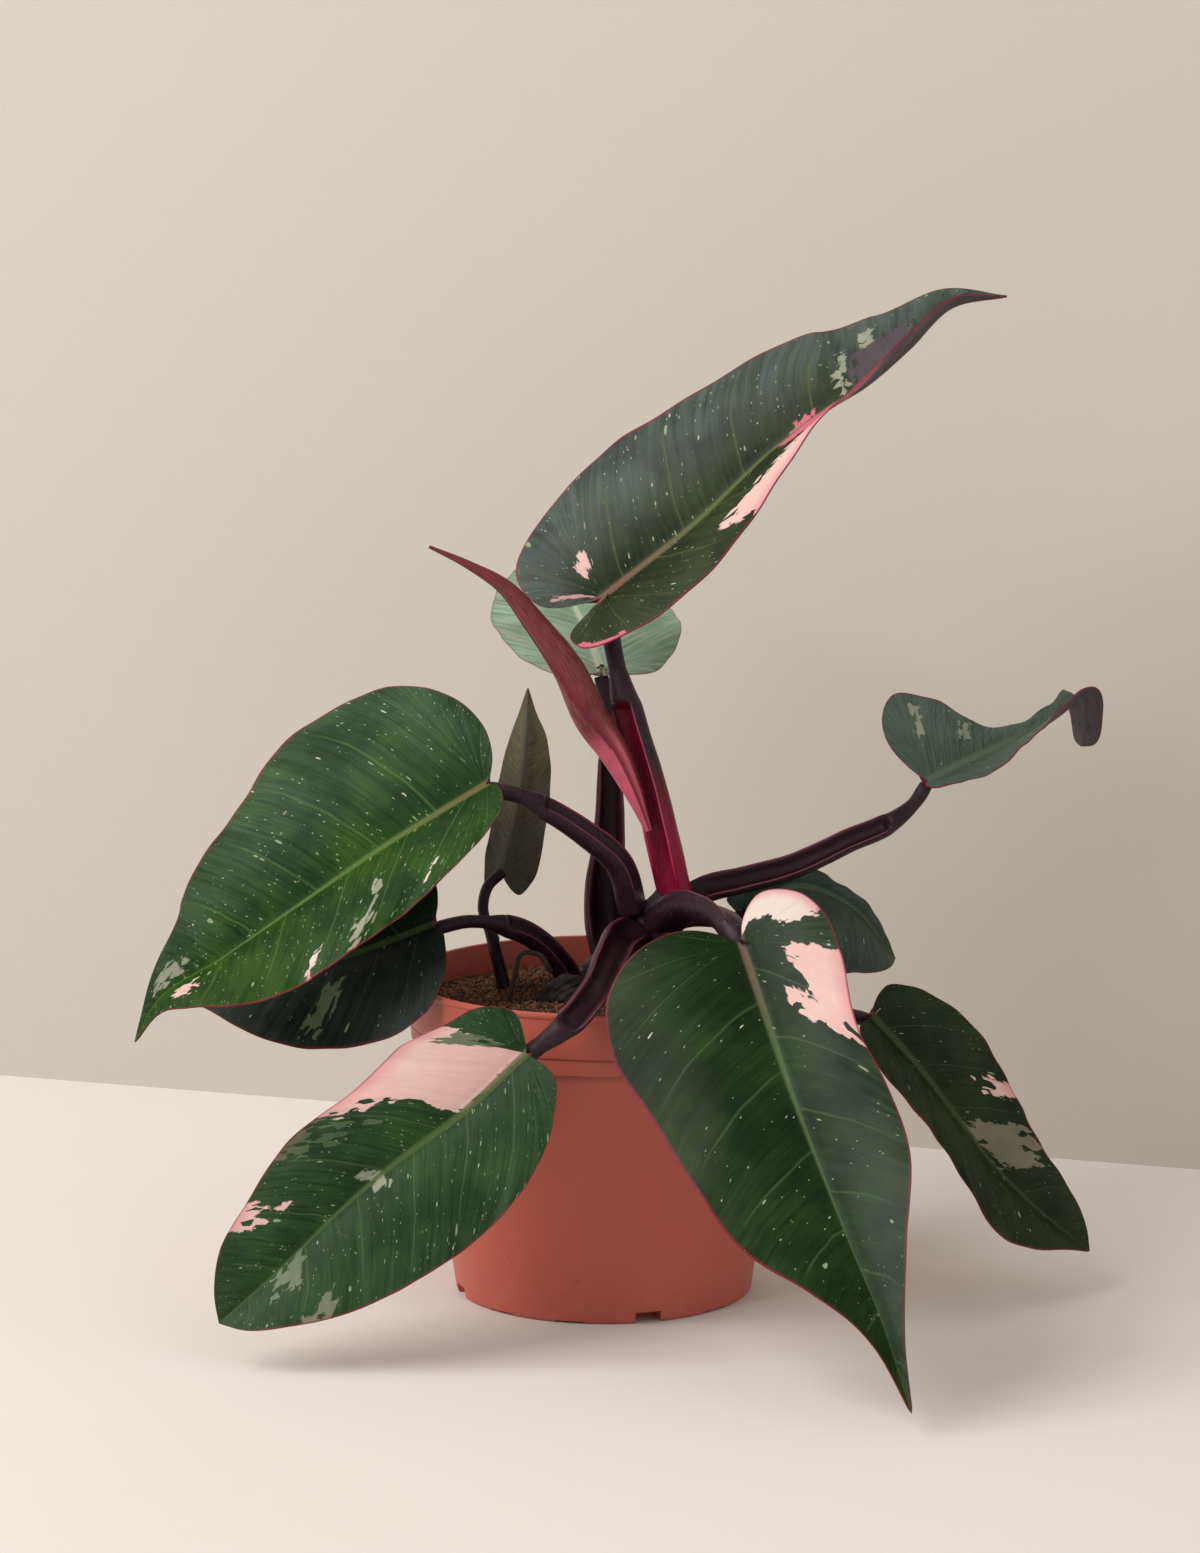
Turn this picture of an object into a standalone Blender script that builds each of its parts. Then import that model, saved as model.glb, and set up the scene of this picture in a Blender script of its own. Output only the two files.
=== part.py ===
"""Pink princess philodendron in its nursery pot: pot, soil, stem, roots and ten leaves on sheathed petioles.

Lengths in the tables are millimetres from the middle of the pot's underside; MM turns them into metres.
X runs to the right, Y to the back and Z up. Each piece of the plant is its own closed solid.
"""

import math

import bmesh
import bpy
import numpy as np

MM = 0.001
GAP = 0.3

POT_HEIGHT = 121.2
RIM_RADIUS = 75.0
RIM_BAND = 23.5
RIM_LIP = 2.0
BAND_FOOT_RADIUS = 73.2
BODY_TOP_RADIUS = 70.6
BASE_RADIUS = 56.2
POT_WALL = 2.0
POT_FLOOR = 2.6
FOOT_RING_INNER = 47.0
PAD_RADIUS = 30.0
UNDER_RECESS = 2.2
POT_SEGMENTS = 40

FOOT_SLOTS = 12
FIRST_SLOT_ANGLE = 17.0
DEEP_SLOT_EVERY = 3
DEEP_SLOT = (10.0, 4.2)
SHALLOW_SLOT = (11.0, 0.9)
SLOT_REACH = 16.0

SOIL_EDGE_HEIGHT = 109.5
SOIL_MOUND = 4.5
SOIL_BUMP = 0.7
SOIL_RINGS = 6

BLADE_ROWS = 14
BLADE_COLUMNS = (0.0, 0.14, 0.45, 0.75, 1.0)
BLADE_THICKNESS = 0.75
MIDRIB_THICKNESS = 2.6
LOBE_SHARE = 0.34
VEIN_LEAN = 1.1
VEIN_BEND = (0.38, 0.56)
CURL_LENGTH = 40.0
TIP_RIB_THINNING = 0.75

PETIOLE_STATIONS = 13
SECTION_OUTER = 9
SECTION_INNER = 4
CHANNEL_HALF_ANGLE = 118.0
LIGULE_LENGTH = 5.0
SHEATH_STARTS_OPEN = 0.35
SHEATH_OPENS_OVER = 0.12
WING_SPREAD = 0.12
WING_SLOPE = 0.78
CHANNEL_FLOOR = 0.15
CHANNEL_ROUNDNESS = 2.2
CHANNEL_REACH = 0.8
JOINT_SWELL = 1.12

# Each leaf: midrib points from the petiole's joint to the tip; where the blade's upper side faces at even
# steps along it, with how far its left and right halves fold up from flat; how each half curls towards its
# edge; and the edge of each half, as distance along the midrib and distance out from it.
# Its petiole: centre line from the crown out, radii at the base, the sheath's end and the joint, the share
# of its length that is an open sheath, and where the sheath opens.
LEAVES = {
    "newest": dict(
        midrib=((0, 5, 264), (32, 2, 290), (67, 0, 323), (84, 0, 336), (96, 1, 343), (113, 4, 357),
                (129, 8, 372), (150, 12, 376)),
        facing=((-0.4, -0.74, 0.54, 25, 30), (-0.4, -0.74, 0.54, 25, 30), (-0.45, -0.55, 0.7, 30, 30),
                (-0.5, -0.15, 0.85, 42, 38), (-0.45, -0.05, 0.9, 40, 40)),
        curl=(-32, -28),
        left=((-8, 3), (-22, 13), (-23, 30), (-3, 45), (30, 51), (68, 46), (104, 40), (120, 36), (137, 30),
              (165, 14)),
        right=((-8, 2), (-18, 8), (-17, 17), (4, 29), (35, 31), (65, 25), (92, 18), (112, 14), (132, 17),
               (165, 8)),
        wave=(1.2, 3.0, 0.3),
        petiole=((27, 0, 150), (22, -2, 173), (17, -2, 194), (11, 0, 214), (6, 3, 233), (3, 7, 248),
                 (0, 6, 262)),
        radii=(6.6, 5.6, 3.1), sheath=(0.03, 0.66), opens=(-0.75, -0.65, 0.1)),
    "left": dict(
        midrib=((-44, -15, 196), (-85, -25, 172), (-113, -35, 154), (-141, -45, 136), (-164, -55, 122),
                (-172, -60, 108)),
        facing=((-0.12, -0.8, 0.58, 40, 14), (-0.12, -0.8, 0.58, 40, 14), (-0.12, -0.8, 0.58, 40, 20)),
        curl=(-36, -26),
        left=((-2, 2), (-3, 8), (0, 18), (11, 26), (29, 33), (62, 38), (95, 38), (120, 33), (142, 17),
              (152, 5)),
        right=((-5, 4), (-11, 16), (-10, 34), (-1, 51), (18, 67), (41, 69), (72, 53), (105, 36), (132, 16),
               (149, 4)),
        wave=(1.3, 4.0, 1.0),
        petiole=((12, -2, 146), (6, -6, 165), (-7, -9, 177), (-22, -12, 187), (-33, -13, 192),
                 (-44, -13, 195)),
        radii=(6.6, 4.6, 2.8), sheath=(0.04, 0.72), opens=(0.35, -0.3, 0.88)),
    "left_low": dict(
        midrib=((-64, -21, 144), (-94, -18, 132), (-128, -13, 123), (-163, -7, 116)),
        facing=((-0.1, -0.75, 0.65, 25, 25), (-0.1, -0.75, 0.65, 25, 25)),
        curl=(-30, -30),
        left=((-3, 4), (-4, 14), (-2, 26), (7, 37), (24, 44), (45, 41), (68, 31), (88, 14)),
        right=((-3, 4), (-6, 12), (-5, 22), (6, 31), (22, 36), (45, 33), (68, 23), (88, 11)),
        wave=(1.0, 3.0, 0.0),
        petiole=((-8, 4, 106), (-15, 2, 123), (-28, -3, 137), (-40, -9, 142), (-52, -15, 144),
                 (-64, -20, 143)),
        radii=(5.6, 4.4, 2.3), sheath=(0.05, 0.62), opens=(0.5, -0.35, 0.8)),
    "front_left": dict(
        midrib=((-28, -88, 110), (-52, -92, 88), (-75, -98, 72), (-98, -105, 53), (-115, -110, 37),
                (-138, -115, 17)),
        facing=((-0.05, -0.93, 0.36, 22, 22), (-0.05, -0.93, 0.36, 22, 22)),
        curl=(-30, -30),
        left=((-1, 4), (-2, 14), (8, 25), (24, 34), (50, 41), (79, 40), (105, 33), (127, 20), (142, 8)),
        right=((-3, 4), (-7, 14), (1, 24), (14, 28), (33, 33), (60, 30), (86, 31), (108, 26), (130, 19),
               (142, 8)),
        wave=(1.2, 3.5, 0.8),
        petiole=((14, -3, 138), (7, -22, 140), (2, -46, 136), (-5, -76, 128), (-12, -84, 121),
                 (-27, -87, 111)),
        radii=(6.2, 4.8, 3.0), sheath=(0.05, 0.84), opens=(0.55, -0.25, 0.8)),
    "front": dict(
        midrib=((50, -72, 147), (58, -92, 125), (67, -117, 101), (77, -137, 77), (86, -160, 57),
                (95, -180, 38), (105, -199, 9)),
        facing=((-0.05, -0.75, 0.66, 36, 12), (-0.05, -0.75, 0.66, 36, 12), (-0.05, -0.75, 0.66, 40, 30)),
        curl=(-36, -26),
        left=((-8, 3), (-15, 12), (-9, 27), (2, 33), (20, 34), (50, 31), (80, 34), (110, 32), (140, 20),
              (172, 6)),
        right=((-6, 8), (-11, 22), (-7, 40), (5, 53), (28, 58), (56, 51), (90, 44), (120, 37), (145, 21),
               (172, 6)),
        wave=(1.2, 3.0, 2.0),
        petiole=((20, -3, 140), (30, -16, 150), (38, -34, 153), (45, -52, 152), (50, -70, 147)),
        radii=(7.0, 5.4, 2.9), sheath=(0.05, 0.86), opens=(0.45, 0.2, 0.87)),
    "right_low": dict(
        midrib=((100, -35, 112), (115, -32, 95), (133, -28, 71), (146, -24, 53), (162, -20, 36),
                (184, -15, 17)),
        facing=((0.61, -0.68, 0.4, 25, 25), (0.61, -0.68, 0.4, 25, 25)),
        curl=(-30, -30),
        left=((-3, 4), (-4, 12), (4, 20), (18, 26), (37, 29), (60, 27), (85, 20), (108, 15), (122, 7)),
        right=((-2, 4), (-4, 12), (6, 19), (25, 22), (48, 20), (70, 24), (87, 28), (103, 21), (119, 8)),
        wave=(0.9, 3.0, 1.5),
        petiole=((18, -2, 134), (32, -22, 138), (45, -43, 136), (57, -58, 129), (72, -52, 122),
                 (86, -41, 115), (100, -35, 111)),
        radii=(5.0, 3.8, 2.4), sheath=(0.05, 0.55), opens=(0.2, 0.0, 1.0)),
    "right_back": dict(
        midrib=((54, 20, 141), (75, 30, 149), (95, 38, 140), (113, 44, 118)),
        facing=((0.1, -0.6, 0.8, 20, 20), (0.3, -0.6, 0.7, 20, 20), (0.7, -0.5, 0.5, 20, 20)),
        curl=(-30, -36),
        left=((-3, 3), (-4, 7), (5, 10), (20, 10), (38, 7), (56, 5), (70, 3)),
        right=((-4, 5), (-7, 16), (4, 27), (22, 35), (44, 40), (62, 30), (74, 12)),
        wave=(0.8, 3.0, 0.0),
        petiole=((24, 6, 140), (33, 10, 141), (43, 17, 139), (54, 23, 137)),
        radii=(4.4, 3.4, 2.3), sheath=(0.05, 0.6), opens=(-0.2, 0.0, 1.0)),
    "right_high": dict(
        midrib=((123, 20, 192), (136, 28, 197), (151, 38, 202), (167, 47, 208), (178, 54, 214),
                (184, 60, 218), (186, 63, 210), (186, 64, 198)),
        facing=((-0.3, -0.8, 0.5, 25, 25), (-0.2, -0.75, 0.6, 25, 25), (-0.1, -0.3, 0.9, 35, 35),
                (0.1, 0.3, 0.7, 30, 30), (0.5, 0.5, 0.3, 25, 25)),
        curl=(-26, -26),
        left=((-3, 5), (-6, 16), (-2, 29), (9, 37), (22, 27), (36, 10), (50, 5), (66, 6), (86, 8), (98, 4)),
        right=((-2, 2), (-2, 5), (7, 9), (20, 13), (42, 11), (64, 8), (86, 8), (98, 4)),
        wave=(1.0, 3.0, 0.5),
        petiole=((26, 4, 145), (38, 7, 152), (52, 10, 155), (72, 13, 160), (92, 15, 169), (112, 18, 178),
                 (119, 21, 184), (124, 24, 190)),
        radii=(5.0, 4.0, 2.4), sheath=(0.05, 0.8), opens=(-0.3, -0.75, 0.6)),
    "back_high": dict(
        midrib=((-1, 27, 233), (-5, 50, 241), (-11, 85, 249), (-18, 125, 256), (-24, 163, 262)),
        facing=((0.0, -0.3, 0.95, 14, 14), (0.0, -0.3, 0.95, 14, 14)),
        curl=(-26, -26),
        left=((-5, 6), (-6, 16), (6, 26), (24, 33), (52, 35), (85, 27), (115, 15), (134, 5)),
        right=((-6, 6), (-9, 17), (3, 27), (22, 35), (50, 37), (85, 29), (115, 16), (134, 5)),
        wave=(1.2, 3.5, 0.0),
        petiole=((4, 8, 122), (0, 15, 146), (2, 21, 170), (2, 24, 203), (1, 26, 222), (-1, 28, 232)),
        radii=(8.2, 3.9, 2.6), sheath=(0.05, 0.72), opens=(0.2, -0.97, 0.1)),
    "small_back": dict(
        midrib=((-38, 25, 155), (-33, 34, 178), (-30, 43, 202), (-29, 50, 223)),
        facing=((0.2, 0.95, -0.2, 20, 20), (0.2, 0.95, -0.2, 20, 20)),
        curl=(-20, -20),
        left=((-5, 3), (-7, 7), (-1, 11), (18, 12), (37, 11), (54, 8), (65, 3)),
        right=((-4, 3), (-6, 6), (2, 9), (18, 10), (37, 10), (54, 7), (65, 3)),
        wave=(0.5, 2.0, 0.0),
        petiole=((-34, 9, 96), (-38, 11, 116), (-42, 14, 131), (-46, 18, 144), (-44, 21, 151),
                 (-39, 26, 155)),
        radii=(3.2, 2.8, 1.9), sheath=(0.04, 0.52), opens=(0.9, -0.2, 0.2)),
}

# Centre line of the stem and its radius at each point.
STEM = ((-7, 3, 86), (-5, 2, 100), (-3, 1, 112), (2, 0, 122), (11, 0, 133), (20, 0, 143), (25, 0, 149))
STEM_RADII = (7.0, 8.4, 9.2, 9.0, 8.6, 8.0, 6.4)
STEM_SIDES = 16
STEM_RINGS = 20
STEM_NODE_RISE = 0.07
STEM_NODES = 3.0

# Centre line of the rolled new leaf, its radius at each point, and how far its free edge stands up.
ROLLED_LEAF = ((17, -4, 177), (10, -5, 195), (4, -5, 207), (-4, -5, 219), (-13, -4, 238), (-26, -4, 256),
               (-37, -4, 269), (-50, -4, 277), (-65, -4, 284))
ROLLED_RADII = (3.2, 5.4, 6.6, 7.0, 6.2, 4.8, 3.4, 1.8, 0.6)
ROLLED_SIDES = 16
ROLLED_STATIONS = 16
ROLLED_EDGE = 0.14

ROOTS = {
    "root_long": dict(
        line=((-20, -9, 124), (-25, -11, 131), (-31, -12, 131), (-33, -12, 124), (-36, -12, 112),
              (-37, -11, 104)),
        radius=0.95),
    "root_short": dict(line=((-27, -14, 121), (-31, -15, 116), (-32, -15, 108), (-31, -14, 102)), radius=0.8),
}

# The dried sheath that lies against the stem on the soil.
DRY_SHEATH = ((-24, -14, 113), (-18, -15, 117), (-11, -15, 119), (-4, -14, 117))
DRY_SHEATH_RADII = (2.6, 5.0, 5.6, 3.0)
DRY_SHEATH_SIDES = 12
DRY_SHEATH_RINGS = 9
DRY_SHEATH_FOLD = 0.18

# Leaves whose sheaths reach down into the soil.
FROM_SOIL = ("left_low", "small_back", "back_high")

TERRACOTTA = (0.52, 0.125, 0.085)
SOIL_BROWN = (0.085, 0.035, 0.014)
STEM_PURPLE = (0.045, 0.022, 0.035)
PETIOLE_PURPLE = (0.05, 0.018, 0.03)
PETIOLE_CRIMSON = (0.20, 0.01, 0.03)
BLADE_GREEN = (0.035, 0.075, 0.03)
BLADE_DARK = (0.022, 0.04, 0.022)
BLADE_OLIVE = (0.06, 0.05, 0.03)
ROLLED_ROSE = (0.42, 0.06, 0.08)
ROOT_BROWN = (0.12, 0.05, 0.03)


def make_material(name, colour, roughness, metallic=0.0):
    material = bpy.data.materials.get(name) or bpy.data.materials.new(name)
    material.use_nodes = True
    shader = material.node_tree.nodes["Principled BSDF"]
    shader.inputs["Base Color"].default_value = (*colour, 1.0)
    shader.inputs["Roughness"].default_value = roughness
    shader.inputs["Metallic"].default_value = metallic
    return material


def collection(name):
    made = bpy.data.collections.new(name)
    bpy.context.scene.collection.children.link(made)
    return made


def add_object(name, mesh, group, material=None):
    obj = bpy.data.objects.new(name, mesh)
    group.objects.link(obj)
    if material is not None:
        mesh.materials.append(material)
    return obj


def hide_helper(obj):
    obj.hide_render = True
    obj.display_type = "WIRE"


def unit(vectors):
    return vectors / np.linalg.norm(vectors, axis=-1, keepdims=True)


def smooth_curve(knots, values, where):
    """Values of a smooth curve through the given values at the given knots."""
    knots = np.asarray(knots, float)
    values = np.asarray(values, float)
    where = np.clip(np.asarray(where, float), knots[0], knots[-1])
    slopes = np.diff(values, axis=0) / np.diff(knots)[:, None]
    tangents = np.empty_like(values)
    tangents[0], tangents[-1] = slopes[0], slopes[-1]
    for i in range(1, len(knots) - 1):
        before, after = knots[i] - knots[i - 1], knots[i + 1] - knots[i]
        tangents[i] = (slopes[i - 1] * after + slopes[i] * before) / (before + after)
    i = np.clip(np.searchsorted(knots, where, side="right") - 1, 0, len(knots) - 2)
    step = (knots[i + 1] - knots[i])[:, None]
    s = ((where - knots[i]) / (knots[i + 1] - knots[i]))[:, None]
    return (
        (2 * s**3 - 3 * s**2 + 1) * values[i]
        + (s**3 - 2 * s**2 + s) * step * tangents[i]
        + (3 * s**2 - 2 * s**3) * values[i + 1]
        + (s**3 - s**2) * step * tangents[i + 1]
    )


def chord_knots(points):
    steps = np.linalg.norm(np.diff(np.asarray(points, float), axis=0), axis=1)
    return np.concatenate([[0.0], np.cumsum(steps)])


def along(points, shares):
    """Points and unit directions at shares of the length of a smooth line through the points."""
    knots = chord_knots(points)
    where = np.asarray(shares, float) * knots[-1]
    nudge = knots[-1] * 0.004
    places = smooth_curve(knots, points, where)
    ahead = smooth_curve(knots, points, where + nudge)
    behind = smooth_curve(knots, points, where - nudge)
    return places, unit(ahead - behind)


def edge_points(leaf, side, shares, length):
    """Flat edge of one half of a blade, from the joint round the lobe to the tip."""
    outline = [(0.0, 0.0), *leaf[side], (length, 0.0)]
    knots = chord_knots(outline)
    return smooth_curve(knots, outline, np.asarray(shares) * knots[-1])


def blade_half(leaf, side, shares, columns):
    """Grid of points of one half of a blade: rows follow the side veins, columns run out from the midrib."""
    midrib = np.asarray(leaf["midrib"], float)
    knots = chord_knots(midrib)
    length = knots[-1]
    edge = edge_points(leaf, side, shares, length)
    start = length * (np.clip((shares - LOBE_SHARE) / (1 - LOBE_SHARE), 0, 1) ** VEIN_LEAN)
    t = np.asarray(columns, float)[None, :]
    bend_u = start[:, None] + VEIN_BEND[0] * (edge[:, :1] - start[:, None])
    bend_d = VEIN_BEND[1] * edge[:, 1:]
    u = (1 - t) ** 2 * start[:, None] + 2 * t * (1 - t) * bend_u + t**2 * edge[:, :1]
    d = 2 * t * (1 - t) * bend_d + t**2 * edge[:, 1:]
    flat = u.ravel()
    inside = np.clip(flat, 0, length)
    centre = smooth_curve(knots, midrib, inside)
    ahead = smooth_curve(knots, midrib, np.clip(inside + 0.6, 0, length))
    behind = smooth_curve(knots, midrib, np.clip(inside - 0.6, 0, length))
    forward = unit(ahead - behind)
    stations = np.linspace(0, length, len(leaf["facing"]))
    facing = smooth_curve(stations, leaf["facing"], inside)
    up = facing[:, :3] - (facing[:, :3] * forward).sum(1, keepdims=True) * forward
    up = unit(up)
    across = np.cross(up, forward)
    hand = 0 if side == "left" else 1
    fold = np.radians(facing[:, 3 + hand])
    curl = np.radians(leaf["curl"][hand]) / CURL_LENGTH
    out = d.ravel()
    lateral = (np.sin(fold + curl * out) - np.sin(fold)) / curl
    rise = (np.cos(fold) - np.cos(fold + curl * out)) / curl
    depth, waves, phase = leaf["wave"]
    ripple = depth * t**3 * np.sin(2 * math.pi * waves * shares[:, None] + phase + hand)
    ripple = (ripple * np.sin(math.pi * np.clip(shares, 0, 1))[:, None]).ravel()
    sign = 1.0 if hand == 0 else -1.0
    points = centre + (flat - inside)[:, None] * forward
    points = points + sign * lateral[:, None] * across + (rise + ripple)[:, None] * up
    return points.reshape(len(shares), len(columns), 3)


def blade_mesh(name, leaf, rows, columns):
    """The upper face of a blade, split into triangles, with a vertex group that is heavy on the midrib."""
    shares = np.linspace(0.0, 1.0, rows + 1)
    mesh_points = []
    index_of = {}
    weights = []
    faces = []

    def add(point, weight):
        key = tuple(np.round(point, 3))
        if key not in index_of:
            index_of[key] = len(mesh_points)
            mesh_points.append(point)
            weights.append(weight)
        return index_of[key]

    for side in ("left", "right"):
        grid = blade_half(leaf, side, shares, columns)
        thin = 1.0 - TIP_RIB_THINNING * shares
        rib = []
        for j in range(rows + 1):
            rib.append([add(grid[j, i], thin[j] if i == 0 else 0.0) for i in range(len(columns))])
        for j in range(rows):
            for i in range(len(columns) - 1):
                corners = [rib[j][i], rib[j + 1][i], rib[j + 1][i + 1], rib[j][i + 1]]
                if side == "right":
                    corners.reverse()
                kept = [c for k, c in enumerate(corners) if c != corners[k - 1]]
                if len(set(kept)) > 2:
                    faces.append(kept)
    mesh = bpy.data.meshes.new(name)
    mesh.from_pydata([tuple(p * MM) for p in np.asarray(mesh_points)], [], faces)
    work = bmesh.new()
    work.from_mesh(mesh)
    bmesh.ops.triangulate(work, faces=work.faces)
    work.to_mesh(mesh)
    work.free()
    return mesh, weights


def thicken(obj, weights):
    group = obj.vertex_groups.new(name="midrib")
    for index, weight in enumerate(weights):
        group.add([index], weight, "REPLACE")
    solid = obj.modifiers.new("leaf thickness", "SOLIDIFY")
    solid.thickness = MIDRIB_THICKNESS * MM
    solid.offset = -1.0
    solid.vertex_group = group.name
    solid.thickness_vertex_group = BLADE_THICKNESS / MIDRIB_THICKNESS


def loft(name, rings):
    """Closed solid through rings of equal point counts, with a flat cap on each end."""
    work = bmesh.new()
    made = [[work.verts.new(tuple(p * MM)) for p in ring] for ring in rings]
    count = len(made[0])
    for low, high in zip(made, made[1:]):
        for k in range(count):
            after = (k + 1) % count
            work.faces.new((low[k], low[after], high[after], high[k]))
    work.faces.new(list(reversed(made[0])))
    work.faces.new(made[-1])
    bmesh.ops.triangulate(work, faces=work.faces)
    bmesh.ops.recalc_face_normals(work, faces=work.faces)
    mesh = bpy.data.meshes.new(name)
    work.to_mesh(mesh)
    work.free()
    return mesh


def round_rings(line, radii, sides, stations, shape=None):
    """Rings of a tapered round piece along a line; shape scales the radius by share and angle."""
    shares = np.linspace(0.0, 1.0, stations)
    places, forward = along(line, shares)
    radius = smooth_curve(np.linspace(0, 1, len(radii)), np.asarray(radii, float)[:, None], shares)[:, 0]
    rings = []
    for place, way, size, share in zip(places, forward, radius, shares):
        side = unit(np.cross(way, (0.0, 1.0, 0.0)))
        top = np.cross(side, way)
        ring = []
        for k in range(sides):
            angle = 2 * math.pi * k / sides
            reach = size * (shape(share, angle) if shape else 1.0)
            ring.append(place + reach * (math.cos(angle) * side + math.sin(angle) * top))
        rings.append(np.array(ring))
    return rings


def seated_line(leaf):
    """Centre line of a petiole, ending just under the midrib's start, on the blade's lower side."""
    base, ahead = np.asarray(leaf["midrib"][:2], float)
    forward = unit(ahead - base)
    facing = np.asarray(leaf["facing"][0][:3], float)
    up = unit(facing - (facing @ forward) * forward)
    line = [np.asarray(point, float) for point in leaf["petiole"]]
    arriving = unit(base - line[-2])
    lean = math.sqrt(max(0.0, 1.0 - float(arriving @ up) ** 2))
    line[-1] = base - up * (MIDRIB_THICKNESS + GAP + leaf["radii"][2] * lean)
    return line


def petiole_rings(leaf, stations, grown=0.0, filled=False):
    """Sections of a petiole: an open crescent along the sheath, closing to a round stalk beyond its end."""
    start, end = leaf["sheath"]
    line = seated_line(leaf)
    length = chord_knots(line)[-1]
    ligule = LIGULE_LENGTH / length
    shares = np.linspace(0.0, 1.0, stations)
    extra = [end - ligule, end, end + 0.5 * ligule]
    shares = np.unique(np.round(np.concatenate([shares, extra]), 4))
    keep = [s for s in shares if s in np.round(extra, 4) or min(abs(s - e) for e in extra) > 0.35 * ligule]
    shares = np.array(keep)
    places, forward = along(line, shares)
    base, middle, tip = leaf["radii"]
    after = min(end + SHEATH_OPENS_OVER, 0.97)
    radius = np.interp(shares, [0.0, end, after, 1.0], [base, middle, tip * JOINT_SWELL, tip])
    places_open = [start, start + SHEATH_OPENS_OVER, end - ligule * 0.5, end + ligule * 0.5]
    opening = np.interp(shares, places_open, [SHEATH_STARTS_OPEN, 1, 1, 0])
    half = math.radians(CHANNEL_HALF_ANGLE)
    rings = []
    for place, way, size, wide in zip(places, forward, radius, opening):
        channel = 0.0 if filled else wide
        opens = np.asarray(leaf["opens"], float)
        top = unit(opens - (opens @ way) * way)
        side = np.cross(way, top)
        outer = []
        reach = size + grown
        for angle in np.linspace(-half, half, SECTION_OUTER):
            outer.append((reach * math.sin(angle) * (1 + WING_SPREAD * wide), -reach * math.cos(angle)))
        inner = []
        edge = reach * math.sin(half)
        level = -reach * math.cos(half)
        floor = -CHANNEL_FLOOR * size + grown
        for k in range(1, SECTION_INNER + 1):
            share = k / (SECTION_INNER + 1)
            angle = half + share * (2 * math.pi - 2 * half)
            full = (reach * math.sin(angle), -reach * math.cos(angle))
            spread = edge * (1 - 2 * share) * WING_SLOPE
            rise = abs(1 - 2 * share) ** CHANNEL_ROUNDNESS
            dip = floor + (level - floor) * rise * CHANNEL_REACH
            inner.append(tuple(channel * a + (1 - channel) * b for a, b in zip((spread, dip), full)))
        rings.append(np.array([place + x * side + y * top for x, y in outer + inner]))
    if grown:
        rings[0] = rings[0] - forward[0] * grown
        rings[-1] = rings[-1] + forward[-1] * grown
    return rings


def cut(obj, cutter):
    modifier = obj.modifiers.new("cut " + cutter.name, "BOOLEAN")
    modifier.operation = "DIFFERENCE"
    modifier.solver = "EXACT"
    modifier.object = cutter


def near(first, second):
    """True where the boxes round two objects' own meshes come within half a millimetre."""
    margin = 0.5 * MM
    boxes = []
    for obj in (first, second):
        points = np.array([v.co[:] for v in obj.data.vertices])
        boxes.append((points.min(0), points.max(0)))
    (low_a, high_a), (low_b, high_b) = boxes
    return bool(np.all(low_a - margin <= high_b) and np.all(low_b - margin <= high_a))


def settle(obj):
    """Applies the modifiers and keeps only the largest connected piece."""
    bpy.context.view_layer.update()
    graph = bpy.context.evaluated_depsgraph_get()
    mesh = bpy.data.meshes.new_from_object(obj.evaluated_get(graph))
    obj.modifiers.clear()
    old = obj.data
    obj.data = mesh
    bpy.data.meshes.remove(old)
    work = bmesh.new()
    work.from_mesh(mesh)
    bmesh.ops.remove_doubles(work, verts=work.verts, dist=1e-6)
    bmesh.ops.dissolve_degenerate(work, edges=work.edges, dist=2e-6)
    bmesh.ops.triangulate(work, faces=work.faces)
    pieces = []
    unseen = set(work.faces)
    while unseen:
        stack = [unseen.pop()]
        piece = set(stack)
        while stack:
            for edge in stack.pop().edges:
                for face in edge.link_faces:
                    if face in unseen:
                        unseen.remove(face)
                        piece.add(face)
                        stack.append(face)
        pieces.append(piece)
    pieces.sort(key=lambda piece: -sum(face.calc_area() for face in piece))
    scraps = [face for piece in pieces[1:] for face in piece]
    bmesh.ops.delete(work, geom=scraps, context="FACES")
    loose = [vertex for vertex in work.verts if not vertex.link_faces]
    bmesh.ops.delete(work, geom=loose, context="VERTS")
    work.to_mesh(mesh)
    work.free()


def smooth_shade(obj):
    obj.data.shade_smooth()
    obj.data.set_sharp_from_angle(angle=math.radians(40))


def turned(name, profile, segments, group, material=None):
    """Solid of revolution: the profile runs from the axis at the top, down the outside, back to the axis."""
    mesh = bpy.data.meshes.new(name)
    points = [(r * MM, 0.0, z * MM) for r, z in profile]
    edges = [(i, i + 1) for i in range(len(points) - 1)]
    mesh.from_pydata(points, edges, [])
    obj = add_object(name, mesh, group, material)
    screw = obj.modifiers.new("turn", "SCREW")
    screw.steps = segments
    screw.render_steps = segments
    screw.use_merge_vertices = True
    screw.merge_threshold = 0.0001
    return obj


def wall_radius(height):
    """Outer radius of the pot's tapered body at a height."""
    top = POT_HEIGHT - RIM_BAND
    return BASE_RADIUS + (BODY_TOP_RADIUS - BASE_RADIUS) * height / top


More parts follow.
